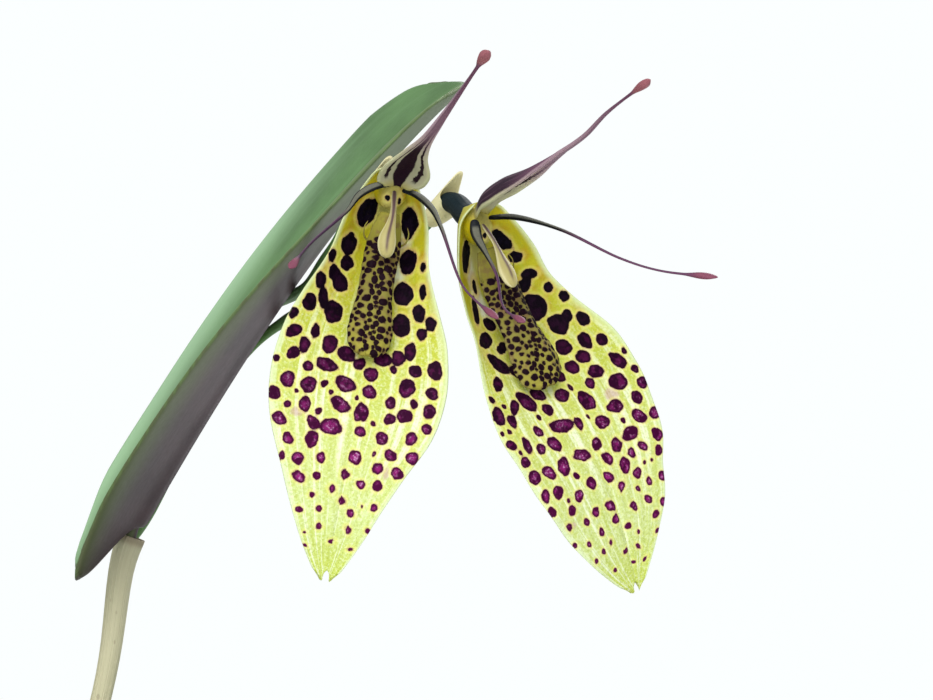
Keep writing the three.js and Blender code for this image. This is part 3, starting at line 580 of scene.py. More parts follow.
class Skin:
    """A procedural material, made node by node."""

    def __init__(self, name):
        self.material = bpy.data.materials.new(name)
        self.material.use_nodes = True
        self.tree = self.material.node_tree
        self.tree.nodes.clear()

    def node(self, kind, settings, sockets, output=0):
        """Adds a node: its settings first, then the values or links of its sockets."""
        made = self.tree.nodes.new(kind)
        for setting, value in settings.items():
            setattr(made, setting, value)
        for key, value in sockets.items():
            if isinstance(value, Value):
                self.tree.links.new(value.socket, made.inputs[key])
            else:
                made.inputs[key].default_value = tint(value) if isinstance(value, str) else value
        return Value(self, made.outputs[output])

    def attribute(self, name):
        return self.node("ShaderNodeAttribute", {"attribute_name": name}, {}, 2)

    def here(self, stretch=(1, 1, 1)):
        """Object coordinates in millimetres, stretched."""
        place = self.node("ShaderNodeTexCoord", {}, {}, 3)
        scale = tuple(s / MM for s in stretch)
        return self.node("ShaderNodeMapping", {}, {"Vector": place, "Scale": scale})

    def noise(self, place, scale, detail=3.0, roughness=0.55):
        sockets = {"Vector": place, "Scale": scale, "Detail": detail, "Roughness": roughness}
        return self.node("ShaderNodeTexNoise", {}, sockets)

    def cells(self, place, scale):
        """Distance to the middle of the nearest of many cells."""
        return self.node("ShaderNodeTexVoronoi", {}, {"Vector": place, "Scale": scale})

    def point(self, x, y, z=0.0):
        return self.node("ShaderNodeCombineXYZ", {}, {"X": x, "Y": y, "Z": z})

    def ramp(self, value, *stops):
        """The colour of a value, from (place, colour) stops."""
        made = self.node("ShaderNodeValToRGB", {}, {"Fac": value})
        elements = made.socket.node.color_ramp.elements
        while len(elements) < len(stops):
            elements.new(0.5)
        for element, (place, colour) in zip(elements, stops):
            element.position = place
            element.color = tint(colour)
        return made

    def mix(self, share, first, second):
        return self.node("ShaderNodeMix", {"data_type": "RGBA"}, {0: share, 6: first, 7: second}, 2)

    def paint(self, ground, *coats):
        """Lays coats over a ground, one after another. Each is a colour and the share that it covers."""
        for colour, share in coats:
            ground = self.mix(share, ground, colour)
        return ground

    def bump(self, height, distance, strength=0.6):
        """A normal for heights given in millimetres times distance."""
        sockets = {"Height": height, "Distance": distance * MM, "Strength": strength}
        return self.node("ShaderNodeBump", {}, sockets)

    def finish(self, colour, roughness, normal, shine=0.5, glow=None, glow_share=0.0):
        """The shader itself. glow is the colour of the light that comes through a thin piece."""
        sockets = {
            "Base Color": colour,
            "Roughness": roughness,
            "Normal": normal,
            "Specular IOR Level": shine,
        }
        surface = self.node("ShaderNodeBsdfPrincipled", {}, sockets)
        if glow:
            through = self.node("ShaderNodeBsdfTranslucent", {}, {"Color": glow, "Normal": normal})
            surface = self.node("ShaderNodeMixShader", {}, {0: glow_share, 1: surface, 2: through})
        output = self.tree.nodes.new("ShaderNodeOutputMaterial")
        self.tree.links.new(surface.socket, output.inputs["Surface"])
        return self.material


def start_skin(name, *stored):
    """A new material, and the values stored at a piece's points that it reads."""
    skin = Skin(name)
    return skin, *(skin.attribute(value) for value in stored)


def synsepal_skin():
    """Yellow-green waxy tissue with pale veins and dark purple spots."""
    skin, across, down, face = start_skin("spotted_synsepal", "across", "lengthwise", "face")
    place = skin.here()
    grain = skin.noise(place, 9.0, 2.0)
    stripes = skin.noise(skin.point(across * 9.0, down * 1.3), 1.0, 3.0, 0.6)
    crumbs = skin.noise(place, 6.5, 2.0, 0.7)
    depth = skin.attribute("spot") + (skin.noise(place, 2.6) - 0.5) * 0.2
    rust = depth.between(-0.45, -0.03) * skin.noise(place, 0.9).between(0.45, 0.6)
    faint = (skin.attribute("faint") + (crumbs - 0.5) * 0.2).between(-0.06, 0.12)
    ground = skin.ramp(
        down + (skin.noise(place, 0.55) - 0.5) * 0.12,
        (0.0, "b3a00c"), (0.2, "b2ab18"), (0.42, "b5bc44"), (0.62, "c0ca74"), (0.85, "c6d28c"),
        (1.0, "bcc85c"),
    )
    ground = skin.paint(
        ground,
        ("e6ecd0", stripes.between(0.5, 0.62) * down.between(0.15, 0.6) * 0.9),
        ("a9b836", stripes.between(0.46, 0.3) * 0.55),
        # Partly painted highlight: pale specks on the granules, the tissue's pale grain together with painted
        # sparkle, growing down the sheet from near its neck.
        ("eef2d8", crumbs.between(0.5, 0.66) * down.between(0.1, 0.45) * 0.35),
        ("98a23a", crumbs.between(0.5, 0.34) * 0.4),
        ("e6e8da", skin.attribute("pale") * 0.85),
        ("a8620f", rust * down.between(0.42, 0.15) * 0.7),
        # Painted glow: a pale rim along both margins of the sheet, standing in for light shining through its
        # thin edge.
        ("d5e2bd", abs(across).between(0.91, 1.0) * 0.8),
        ("bdb272", skin.attribute("cream") * 0.85),
        ("b8789a", faint * 0.5),
        ("e9e37c", depth.between(-0.2, -0.05) * 0.4),
        ("b07a6c", depth.between(-0.05, -0.01) * 0.6),
    )
    ink = depth.between(-0.012, 0.025)
    edge_ink = skin.ramp(
        down, (0.0, "030208"), (0.34, "0b010b"), (0.5, "22001b"), (0.75, "3c032c"), (1.0, "4c083a")
    )
    heart_ink = skin.ramp(
        down, (0.0, "060714"), (0.34, "1c0418"), (0.5, "4a0a38"), (0.75, "7c1c5f"), (1.0, "8c3270")
    )
    heart = depth.between(0.05, 0.22) * skin.noise(place, 1.8, 2.0).between(0.42, 0.6)
    spot = skin.mix(heart, edge_ink, heart_ink)
    spot = skin.mix(heart * crumbs.between(0.5, 0.68) * down.between(0.4, 0.7) * 0.5, spot, "c79cc0")
    colour = skin.mix((1.0 - face) * 0.35, skin.mix(ink, ground, spot), "b9bf7c")
    normal = skin.bump(crumbs * 1.2 + grain * 0.3 + stripes * 0.8 + ink * 0.4, 0.06)
    return skin.finish(colour, 0.45 + grain * 0.2, normal, 0.035, "d7dd8c", (1.0 - ink) * 0.3)


def dorsal_skin():
    """Cream blade with three purple-black stripes, a dull purple tail and a rose club."""
    skin, across, down, outer = start_skin("striped_dorsal_sepal", "across", "lengthwise", "face")
    place = skin.here()
    grain = skin.noise(place, 8.0)
    wander = (skin.noise(place, 2.2) - 0.5) * 0.2
    streaks = skin.noise(skin.point(across * 7.0, down * 3.0), 1.0, 2.0)
    cream = skin.paint(
        skin.mix(skin.noise(skin.point(across * 5.0, down * 14.0), 1.0, 2.0), "c6c2a4", "aeab8c"),
        ("cbd0a0", abs(across).between(0.84, 0.98) * 0.6),
        ("b9ad52", down.between(0.04, 0.0) * 0.8),
        ("927a80", down.between(0.12, 0.3) * 0.7),
    )
    middle = abs(across + wander * 0.6).between(0.4, 0.33)
    side = abs(abs(across + wander) - 0.66).between(0.1, 0.06) * down.between(0.03, 0.06)
    back = outer * abs(across + wander * 0.3).between(0.9, 0.8) * down.between(0.0, 0.05)
    stripe = middle.larger(side).larger(back)
    outer_ink = skin.mix(streaks.between(0.56, 0.68) * 0.5, skin.mix(streaks, "0e0611", "35192d"), "7d6670")
    ink = skin.mix(back, skin.mix(grain, "0c060f", "260c1d"), outer_ink)
    tail = skin.paint(
        skin.mix(streaks, "43243a", "6b4259"),
        ("8d7880", (1.0 - outer) * down.between(0.9, 0.3) * 0.35),
        ("b39aa2", abs(across).between(0.7, 0.95) * down.between(0.9, 0.5) * 0.5),
    )
    colour = skin.mix(down.between(0.42, 0.2), tail, skin.mix(stripe, cream, ink))
    club = (down + (grain - 0.5) * 0.02).between(0.895, 0.935)
    colour = skin.mix(club, colour, skin.mix(grain, "78404a", "8c5a5e"))
    normal = skin.bump(grain + stripe * 0.5, 0.04, 0.4)
    glow = down.between(0.35, 0.1) * (1.0 - stripe) * 0.35
    return skin.finish(colour, 0.5 + grain * 0.2, normal, 0.08, "d8d3b0", glow)


def petal_skin():
    """Dark base with black edges and a grey line, purple thread and a rose club."""
    skin, across, down = start_skin("petal_thread", "across", "lengthwise")
    grain = skin.noise(skin.here(), 9.0)
    base = skin.mix(abs(across).between(0.75, 0.45), "070809", skin.mix(grain, "3d4039", "6a685a"))
    base = skin.mix(down.between(0.07, 0.04), base, "101318")
    thread = skin.mix(across.between(-0.2, 0.6), "2c1a2e", "59374f")
    thread = skin.mix(grain * 0.5, thread, "3d2038")
    colour = skin.mix(down.between(0.3, 0.45), base, thread)
    colour = skin.mix(down.between(0.87, 0.94), colour, skin.mix(grain, "5a2c40", "7a4654"))
    return skin.finish(colour, 0.45 + grain * 0.2, skin.bump(grain, 0.03, 0.3), 0.12)


def lip_skin():
    """Olive tongue thick with dark purple warts."""
    skin, across, down = start_skin("warty_lip", "across", "lengthwise")
    place = skin.here()
    grain = skin.noise(place, 7.0)
    depth = skin.attribute("spot") + (skin.noise(place, 5.0, 2.0) - 0.5) * 0.14
    ink = depth.between(-0.015, 0.03)
    olive = ((0.0, "8a8438"), (0.25, "6e6828"), (0.6, "787236"), (1.0, "8f8838"))
    ground = skin.paint(
        skin.ramp(down + (grain - 0.5) * 0.1, *olive),
        ("7d7548", abs(across).between(0.8, 1.0) * 0.5),
        ("6a4a3c", skin.noise(place, 1.6).between(0.5, 0.65) * 0.5),
        ("5d3f34", depth.between(-0.09, 0.0) * 0.4),
    )
    spot = skin.mix(skin.noise(place, 3.0, 2.0), "080205", "1c0814")
    colour = skin.mix(ink * down.between(0.1, 0.2), ground, spot)
    small = skin.cells(place, 9.0).between(0.3, 0.1)
    normal = skin.bump(small * 0.5 + grain * 0.4 + ink * 0.5, 0.04, 0.5)
    return skin.finish(colour, 0.45 + grain * 0.2, normal, 0.03, "a89f3a", (1.0 - ink) * 0.12)


def column_skin():
    """Cream-yellow with a purple stripe down its front."""
    skin, across, down, face = start_skin("striped_column", "across", "lengthwise", "face")
    grain = skin.noise(skin.here(), 9.0)
    wide = skin.ramp(down, (0.0, "ffffff"), (0.5, "909090"), (0.8, "505050"), (1.0, "202020"))
    line = (abs(across) - wide * 0.6).between(0.3, -0.1) * face.between(0.5, 0.65)
    colour = skin.paint(
        skin.mix(grain, "b3a872", "a0965a"),
        ("77696a", down.between(0.6, 0.3) * 0.5),
        ("8c8350", 0.35),
        ("472a3c", line * 0.9 * down.between(0.97, 0.85)),
        ("cfc79c", abs(across).between(0.75, 0.98) * 0.7),
    )
    return skin.finish(colour, 0.4 + grain * 0.15, skin.bump(grain, 0.03, 0.4), 0.25, "cfc47c", 0.15)


def ovary_skin():
    """Dark grey-green, ribbed, turning yellow where the sepals spring from it."""
    skin, across, down, face = start_skin("ribbed_ovary", "across", "lengthwise", "face")
    grain = skin.noise(skin.here(), 6.0)
    rib = skin.noise(skin.point(across * 3.0, face * 3.0), 1.2, 1.0)
    colour = skin.paint(
        skin.mix(rib, "050d12", "0f2028"),
        ("18241f", grain * 0.25),
        ("8d8540", down.between(0.1, 0.02)),
    )
    return skin.finish(colour, 0.5 + grain * 0.2, skin.bump(rib * 1.5 + grain * 0.4, 0.06), 0.05)


def bract_skin():
    """Thin dry cream-tan paper with fibres from foot to point."""
    skin, across, down, face = start_skin("papery_bract", "across", "lengthwise", "face")
    fibres = skin.noise(skin.point(across * 9.0, face * 9.0, down * 1.5), 1.0)
    grain = skin.noise(skin.here(), 5.0)
    colour = skin.mix(fibres, "d3cb9c", "e6e0b8")
    colour = skin.mix(grain.between(0.55, 0.75) * 0.4, colour, "77804e")
    normal = skin.bump(fibres + grain * 0.4, 0.08, 0.7)
    return skin.finish(colour, 0.55 + grain * 0.2, normal, 0.15, "c9c08c", 0.3)


def peduncle_skin():
    """Smooth green stalk, a little brown in places."""
    skin, across, down = start_skin("green_peduncle", "across", "lengthwise")
    grain = skin.noise(skin.here(), 4.0)
    streaks = skin.noise(skin.point(across * 3.0, down * 6.0), 1.0, 2.0)
    colour = skin.mix(streaks, "3f6132", "5c8048")
    colour = skin.mix(grain.between(0.58, 0.75) * 0.4, colour, "5c5138")
    return skin.finish(colour, 0.45 + grain * 0.2, skin.bump(grain + streaks, 0.05, 0.5), 0.2)


def leaf_skin():
    """Leathery leaf: grey-green above with a painted highlight, a pale sheen, by the midrib, and painted
    shade on the other half; dull purple-brown below.
    """
    skin, across, down, face = start_skin("leathery_leaf", "across", "lengthwise", "face")
    place = skin.here()
    grain = skin.noise(place, 3.0, 4.0)
    patches = skin.noise(place, 0.16)
    veins = skin.noise(skin.point(across * 7.0, down * 1.1), 1.0)
    upper = skin.paint(
        skin.mix(patches.between(0.3, 0.7), "45623a", "567849"),
        ("6f9468", veins.between(0.5, 0.7) * 0.3),
        # Painted highlight: a pale sheen over one half of the upper face, from near the midrib out to its
        # margin, fading towards the tip.
        ("9dbf97", across.between(0.3, 0.95) * down.between(0.85, 0.5) * 0.8),
        # Painted shade: the other half of the upper face turns a duller olive, as the shaded side of the
        # painted sheen.
        ("5c6c42", across.between(0.3, -0.8) * 0.7),
    )
    lower = skin.paint(
        skin.mix(patches.between(0.35, 0.7), "322329", "443238"),
        ("39292f", skin.noise(place, 1.6, 4.0).between(0.5, 0.7) * 0.4),
        ("566040", across.between(-0.45, -1.0) * 0.85),
        ("4d5f38", down.between(0.5, 0.8) * 0.85),
    )
    colour = skin.mix(face, lower, upper)
    normal = skin.bump(skin.cells(place, 2.6) * -0.25 + grain * 0.3 + veins * 0.7, 0.06, 0.35)
    return skin.finish(colour, 0.5 + grain * 0.16, normal, 0.22, "8fb25a", 0.04)


def sheath_skin():
    """Dry papery sheaths: tan and grey fibres, a painted shadow of the leaf greying the top of the stem,
    small dark flecks and a brown mouth.
    """
    skin, across, down, face, mouth = start_skin("papery_sheath", "across", "lengthwise", "face", "mouth")
    fibres = skin.noise(skin.point(across * 7.0, face * 7.0, down * 5.0), 1.2)
    grain = skin.noise(skin.here(), 2.5)
    fleck = skin.cells(skin.here((1, 1, 0.6)), 1.5).between(0.2, 0.12)
    colour = skin.paint(
        skin.mix(fibres, "a09a7c", "c0bb9c"),
        # Painted shadow: the top fifth of the stem, under its leaf, is greyed and darkened.
        ("8d887c", down.between(0.8, 1.0) * 0.5),
        ("5e4c3f", fleck * 0.3),
        ("6b5a48", mouth.between(0.6, 1.0) * 0.6),
    )
    return skin.finish(colour, 0.6 + grain * 0.2, skin.bump(fibres * 1.2 + grain * 0.4, 0.12, 0.7), 0.3)


def root_skin():
    """Fibrous rhizome and roots, grey over tan."""
    skin = Skin("fibrous_root")
    grain = skin.noise(skin.here(), 1.6, 5.0)
    rings = skin.noise(skin.here((0.4, 0.4, 1.6)), 1.5)
    colour = skin.mix(grain, "6d5b3c", "b3a680")
    colour = skin.mix(rings.between(0.5, 0.7) * 0.5, colour, "4b3a28")
    return skin.finish(colour, 0.7 + grain * 0.2, skin.bump(grain + rings, 0.25, 0.8), 0.25)


def bark_skin():
    """Orchid bark: layered brown chips, paler where they broke."""
    skin, chip = start_skin("bark_chips", "chip")
    layers = skin.noise(skin.here((0.25, 0.25, 1.6)), 1.4, 4.0)
    grain = skin.noise(skin.here(), 1.3, 6.0)
    colour = skin.paint(
        skin.mix(layers, "3a2417", "7a5238"),
        ("8d6a4c", chip.between(0.2, 0.9) * 0.5),
        ("241710", grain.between(0.55, 0.75) * 0.6),
    )
    return skin.finish(colour, 0.78 + grain * 0.15, skin.bump(layers * 1.5 + grain, 0.5, 0.9), 0.2)


def clay_skin():
    """Unglazed clay with a pale bloom of lime, throwing lines and a darker foot."""
    skin = Skin("unglazed_clay")
    place = skin.here()
    height = skin.node("ShaderNodeSeparateXYZ", {}, {"Vector": place}, 2)
    grain = skin.noise(place, 1.5, 5.0)
    lines = skin.noise(skin.here((0.02, 0.02, 1.0)), 0.7, 4.0)
    lime = skin.noise(place, 0.09, 6.0).between(0.5, 0.72) * height.between(6.0, 40.0)
    speck = skin.cells(place, 0.7).between(0.12, 0.05)
    colour = skin.paint(
        skin.mix(skin.noise(place, 0.05, 5.0), "a4573a", "c47a55"),
        ("d09070", lines.between(0.5, 0.75) * 0.3),
        ("dcc4ae", lime * 0.55),
        # Darker towards the bottom, over the lowest 9 mm of the wall.
        ("7c4530", height.between(9.0, 0.0) * 0.35),
        ("6b3c2a", speck * 0.5),
    )
    normal = skin.bump(grain + lines * 1.2 + speck * -0.5, 0.25)
    return skin.finish(colour, 0.8 + grain * 0.12, normal, 0.25)


def turned(degrees, axis):
    return Matrix.Rotation(math.radians(degrees), 4, axis)


def bloom_place(bloom):
    """Matrix of a bloom's own frame, in metres."""
    turn = turned(bloom["roll"], "Y") @ turned(bloom["pitch"], "X") @ turned(bloom["yaw"], "Z")
    return Matrix.Translation(Vector(bloom["at"]) * MM) @ turn


def set_in_bloom(piece, bloom, material, slot, node=""):
    """Puts a closed piece in its bloom's place, and hands it over.

    The node that it replaces is named after the bloom and the slot, or after node where that is given.
    """
    piece.data.transform(bloom_place(bloom))
    hand_over(piece, material, f"{bloom['name']}_{node or slot}")


def synsepal_reach(bloom, across, down):
    """Half width of the fused sepals at a distance down them, on the side that across says."""
    return np.where(np.less(across, 0), along(bloom["left_edge"], down), along(bloom["right_edge"], down))


def spread_spots(bloom):
    """Spots of a sheet: its main ones, then smaller ones scattered clear of the rest."""
    random = np.random.default_rng(bloom["seed"])
    spots = list(bloom["spots"])
    for tries, small, large in SPOT_ROUNDS:
        for _ in range(tries):
            s = random.uniform(SPOTS_FROM, SPOTS_TO)
            x = random.uniform(-SPOTS_REACH, SPOTS_REACH)
            x = x * float(synsepal_reach(bloom, x, s))
            size = along(SPOT_SIZE, s) * random.uniform(small, large)
            long = size * random.uniform(1, 1.4)
            lean = random.uniform(-SPOT_LEAN, SPOT_LEAN)
            gap = along(SPOT_GAP, s) * random.uniform(0.3, 1)
            if abs(x) < MIDLINE_HALF_WIDTH and s > MIDLINE_FROM and random.random() < MIDLINE_LEFT_OUT:
                continue
            if all(math.hypot(x - px, s - ps) > size + (pa + pb) / 2 + gap for px, ps, pa, pb, _ in spots):
                spots.append((x, s, long, size, lean))
    return spots


def spot_depth(x, s, spots):
    """How far inside the nearest spot's edge a point is, in millimetres. It is below 0 outside."""
    total = np.full(len(x), math.exp(-1 / SPOT_MERGING))
    for k, (spot_x, spot_s, long, wide, lean) in enumerate(spots):
        right, down = x - spot_x, s - spot_s
        c, d = math.cos(math.radians(lean)), math.sin(math.radians(lean))
        a = (right * d - down * c) / long
        b = (right * c + down * d) / wide
        bearing = np.arctan2(b, a)
        wobble = 1
        for count, turn, height in SPOT_WAVES:
            wobble = wobble + height * np.sin(count * bearing + turn * k)
        depth = (wobble - np.hypot(a, b)) * min(long, wide)
        total += np.exp(np.clip(depth, -1, 1) / SPOT_MERGING)
    return SPOT_MERGING * np.log(total)


def make_hub():
    """The small cup in which a bloom's parts meet, with two dark dots under the column's foot."""
    bpy.ops.mesh.primitive_uv_sphere_add(segments=64, ring_count=48, radius=1)
    hub = bpy.context.object
    points = points_of(hub) * np.array(HUB_HALF_SIZE) + np.array(HUB_MIDDLE)
    put_points(hub, points)
    x, y, z = points.T
    depth = np.where(y < HUB_MIDDLE[1], spot_depth(x, -z, HUB_DOTS), -1)
    cream = np.clip(1.6 - np.abs(x) / 0.5, 0, 1) * 0.8
    keep_values(hub, across=x / 2, lengthwise=0.0, face=1.0, spot=depth, cream=cream, faint=-1.0, pale=0.0)
    return close_up(hub)


def make_synsepal(bloom, material):
    whole = SYNSEPAL_LENGTH + SYNSEPAL_RISE

    def middle(u, v):
        notch = SYNSEPAL_NOTCH * u**14 * np.abs(1 - np.abs(v) / 0.55)
        s = u * whole - SYNSEPAL_RISE - notch
        low = np.clip((s - 4) / 8, 0, 1) * np.clip((22 - s) / 4, 0, 1)
        wave = SYNSEPAL_WAVE * np.sin(s * 1.9 + 2 * np.sign(v)) * np.abs(v) ** 4 * np.clip(s / 6, 0, 1)
        ribs = SYNSEPAL_RIB * np.cos(v * 11 * math.pi) * (1 - v * v) * low
        crease = SYNSEPAL_CREASE * np.exp(-((v / 0.09) ** 2))
        crease = crease * np.clip((s - 12) / 8, 0, 1) * np.clip((22.4 - s) / 2, 0, 1)
        back = along(SYNSEPAL_SET_BACK, s) - along(SYNSEPAL_CUP, s) * v * v
        return np.stack([synsepal_reach(bloom, v, s) * v, back + wave + ribs + crease, -s], -1)

    def half_thick(u, v):
        return SYNSEPAL_HALF_THICK * (1 - 0.55 * np.abs(v))

    piece, u, v, front = blade(f"{bloom['name']}_spotted_sheet", middle, half_thick, 140, 300, 0.006)
    s = u * whole - SYNSEPAL_RISE
    x = synsepal_reach(bloom, v, s) * v
    depth = spot_depth(x, s, spread_spots(bloom))
    patch_place, patch_half_width = bloom["pale_patch"]
    beside = np.abs(x - along(bloom["lip_middle"], s) - patch_place) / patch_half_width
    keep_values(
        piece,
        pale=np.clip(1.5 - beside, 0, 1) * np.clip((s - 1.3) / 0.7, 0, 1) * np.clip(6 - s, 0, 1),
        spot=np.where(front, depth, depth - 0.1),
        faint=spot_depth(x, s, bloom["faint_spots"]),
        cream=np.clip(1.5 - np.hypot(x / 0.7, (s - 1.4) / 1.6), 0, 1),
        lengthwise=s / SYNSEPAL_LENGTH,
    )
    set_in_bloom(joined([close_up(piece), make_hub()]), bloom, material, "synsepal")


def make_dorsal(bloom, material):
    way = Way(bloom["dorsal"])

    def middle(u, v):
        inward = unit(np.cross(way.heading(u), np.array([1.0, 0, 0])))
        half_width = along(bloom["dorsal_half_width"], u)
        hood = bloom["hood"] * np.clip(1 - u / 0.5, 0, 1) ** 0.7 * half_width * np.abs(v) ** 1.5
        point = way.at(u) - inward * hood[:, None]
        point[:, 0] += half_width * v
        return point

    def half_thick(u, v):
        return along(DORSAL_HALF_THICK, u)

    piece = blade(f"{bloom['name']}_striped_sepal", middle, half_thick, 20, 180, 0.004)[0]
    set_in_bloom(close_up(piece), bloom, material, "dorsal_sepal")


def make_petals(bloom, material):
    depth = smooth(PETAL_HALF_DEPTH)
    for side, points in bloom["petals"].items():
        name = f"{bloom['name']}_thread_{side}"
        piece = stalk(name, Way(points), smooth(PETAL_HALF_WIDTH), (0, -0.6, 0.8), 20, 140, 0.006, depth)
        set_in_bloom(close_up(piece), bloom, material, "petal", f"petal_{side}")


def spread_warts(bloom):
    """Dark warts of a lip, scattered clear of each other."""
    random = np.random.default_rng(bloom["seed"] + 1)
    warts = []
    for _ in range(WART_TRIES):
        s = random.uniform(*WARTS_DOWN)
        x = random.uniform(-1, 1) * bloom["lip_width"] * along(LIP_HALF_WIDTH, s / LIP_LENGTH)
        size = random.uniform(*WART_SIZE)
        if all(math.hypot(x - px, s - ps) > size + pb + WART_GAP for px, ps, _, pb, _ in warts):
            warts.append((x, s, size * random.uniform(1, 1.6), size, random.uniform(-WART_LEAN, WART_LEAN)))
    return warts


def make_lip(bloom, material):
    spots = spread_warts(bloom)
    half_width = smooth(LIP_HALF_WIDTH)
    wide = bloom["lip_width"]

    def middle(u, v):
        s = LIP_START + u * LIP_LENGTH
        x = wide * half_width(u) * v * (1 + 0.015 * np.sin(u * 70))
        keel = LIP_KEEL * np.exp(-(((np.abs(v) - 0.5) / 0.16) ** 2)) * np.clip(u * 3, 0, 1)
        warts = LIP_WART * np.clip(spot_depth(x, u * LIP_LENGTH, spots) / 0.1 + 0.3, 0, 1)
        back = along(LIP_SET_BACK, s) - 0.2 * (1 - v * v) - keel - warts
        return np.stack([x + along(bloom["lip_middle"], s), back, -s], -1)

    def half_thick(u, v):
        return LIP_HALF_THICK * (1 - 0.4 * v * v)

    piece, u, v, _ = blade(f"{bloom['name']}_warty_tongue", middle, half_thick, 44, 190, 0.02)
    keep_values(piece, spot=spot_depth(wide * half_width(u) * v, u * LIP_LENGTH, spots))
    pieces = [close_up(piece)]
    root_x = along(bloom["lip_middle"], HORN_ROOT_DOWN)
    root_y = along(LIP_SET_BACK, HORN_ROOT_DOWN)
    for side in (-1, 1):
        way = Way([(root_x + out * side, root_y - ahead, z) for out, ahead, z in HORN])
        horn = stalk("horn", way, smooth(HORN_RADIUS), (0, -1, 0), 8, 16, 0.05)
        keep_values(horn, spot=-0.2)
        pieces.append(close_up(horn))
    set_in_bloom(joined(pieces), bloom, material, "lip")


def make_column(bloom, material):
    name = f"{bloom['name']}_slim_column"
    depth = smooth(COLUMN_RADIUS, COLUMN_FLATNESS)
    piece = stalk(name, Way(bloom["column"]), smooth(COLUMN_RADIUS), (0, -1, 0), 28, 90, 0.02, depth)
    set_in_bloom(close_up(piece), bloom, material, "column")


def make_ovary(bloom, material):
    name = f"{bloom['name']}_ribbed_ovary"
    piece = stalk(name, Way(bloom["ovary"]), smooth(OVARY_RADIUS), (0, 0, 1), 36, 60, 0.03)
    set_in_bloom(close_up(piece), bloom, material, "ovary")


def make_bract(bloom, material):
    """A papery cone, open at its mouth and drawn out to a point on one side."""
    foot, mouth, tip = (np.array(end, float) for end in bloom["bract"])
    long = np.linalg.norm(mouth - foot)
    ahead = unit(mouth - foot)
    up_side = unit((tip - mouth) - ahead * np.dot(tip - mouth, ahead))
    across = np.cross(ahead, up_side)
    piece, x, y = flat_grid(f"{bloom['name']}_papery_bract", 64, 80)
    angle = math.pi * (x + 1)
    outside = y <= 0
    share = np.where(outside, y + 1, 1 - y)
    radius = along(BRACT_RADIUS, share) - np.where(outside, 0, BRACT_WALL) * rounded(1 - share, 0.03)
    crease = 1 + 0.03 * np.sin(angle * 7) * share
    round_out = up_side * (np.cos(angle) * radius * crease)[:, None]
    round_out += across * (np.sin(angle) * radius * crease)[:, None]
    height = share * long + np.where(outside, 0, 0.08) * (1 - share)
    drawn = np.clip(np.cos(angle), 0, 1) ** 2.5 * np.clip(share - BRACT_POINT_FROM, 0, 1)
    drawn = drawn / (1 - BRACT_POINT_FROM)
    draw = tip - mouth - up_side * along(BRACT_RADIUS, 1)
    put_points(piece, foot + ahead * height[:, None] + round_out + np.outer(drawn, draw))
    keep_values(piece, across=np.cos(angle), lengthwise=share, face=(np.sin(angle) + 1) / 2)
    set_in_bloom(close_up(piece), bloom, material, "bract")


def make_peduncle(bloom, material):
    """A green stalk that ends a little way inside its bract."""
    foot, mouth, _ = (Vector(end) for end in bloom["bract"])
    end = bloom_place(bloom) @ ((foot + (mouth - foot).normalized() * 0.2) * MM) / MM
    way = Way((*bloom["peduncle"], tuple(end)))

    def radius(u):
        return PEDUNCLE_RADIUS * (1 + 0.12 * np.sin(u * 40))

    piece = close_up(stalk(f"{bloom['name']}_green_stalk", way, radius, (0.3, -0.2, 1), 16, 120, 0.01))
    hand_over(piece, material, f"{bloom['name']}_peduncle")


def stem_place(stem):
    """Matrix of a leafy stem's own frame, in metres: it leans towards its own +X."""
    return Matrix.Translation(Vector((stem["x"], stem["y"], BARK_TOP)) * MM) @ turned(stem["turn"], "Z")


def stem_way(stem):
    top = stem["height"] - PETIOLE_LENGTH
    lean = stem["lean"]
    return Way(
        (
            (0, 0, KNUCKLE_RADIUS - 0.4),
            (lean * 0.22, 0, top * 0.35),
            (lean * 0.6, 0, top * 0.7),
            (lean * 0.88, 0, top * 0.9),
            (lean * 0.95, 0, top),
            (lean, 0, stem["height"] - 0.6),
        )
    )


def make_stem(stem, material):
    """Stem in overlapping sheaths: each widens to a torn mouth, and the next comes out of it."""
    count = max(2, round(stem["height"] / SHEATH_LENGTH))
    rings = [((i + share) / count, flare, mouth) for i in range(count) for share, flare, mouth in SHEATH]
    shares, flares, mouths = np.array(rings).T
    shares = np.append(shares, 1)
    radii = np.append(STEM_RADIUS + SHEATH_FLARE * flares, STEM_RADIUS - 0.1)
    mouths = np.append(mouths, 0)
    rows = len(shares) - 1
    order = np.arange(rows + 1) / rows
    piece = stalk(
        f"sheathed_stem_{stem['name']}",
        stem_way(stem),
        lambda u: np.interp(u, order, radii) * STEM_FLATNESS,
        (1, 0, 0),
        24,
        rows,
        0.5 / rows,
        lambda u: np.interp(u, order, radii),
        lambda u: np.interp(u, order, shares),
    )
    keep_values(piece, mouth=np.interp(values_of(piece, "lengthwise"), order, mouths))
    close_up(piece)
    apply_modifier(piece, "SUBSURF", levels=1, render_levels=1)
    piece.data.transform(stem_place(stem))
    hand_over(piece, material, f"stem_{stem['name']}")


def midrib_of(stem):
    """Midrib of a leaf from (0, 0, 0): straight at first, then leaning over towards its tip."""

    def heading(degrees):
        return np.array([math.sin(math.radians(degrees)), 0, math.cos(math.radians(degrees))])

    bend_at = heading(stem["tilt"]) * stem["leaf"] * MIDRIB_STRAIGHT
    tip = bend_at + heading(stem["tilt"] + stem["bend"]) * stem["leaf"] * (1 - MIDRIB_STRAIGHT)
    t = np.linspace(0, 1, 200)[:, None]
    points = 2 * t * (1 - t) * bend_at + t * t * tip
    lengths = np.linalg.norm(np.diff(points, axis=0), axis=1)
    return points, np.concatenate([[0], np.cumsum(lengths)])


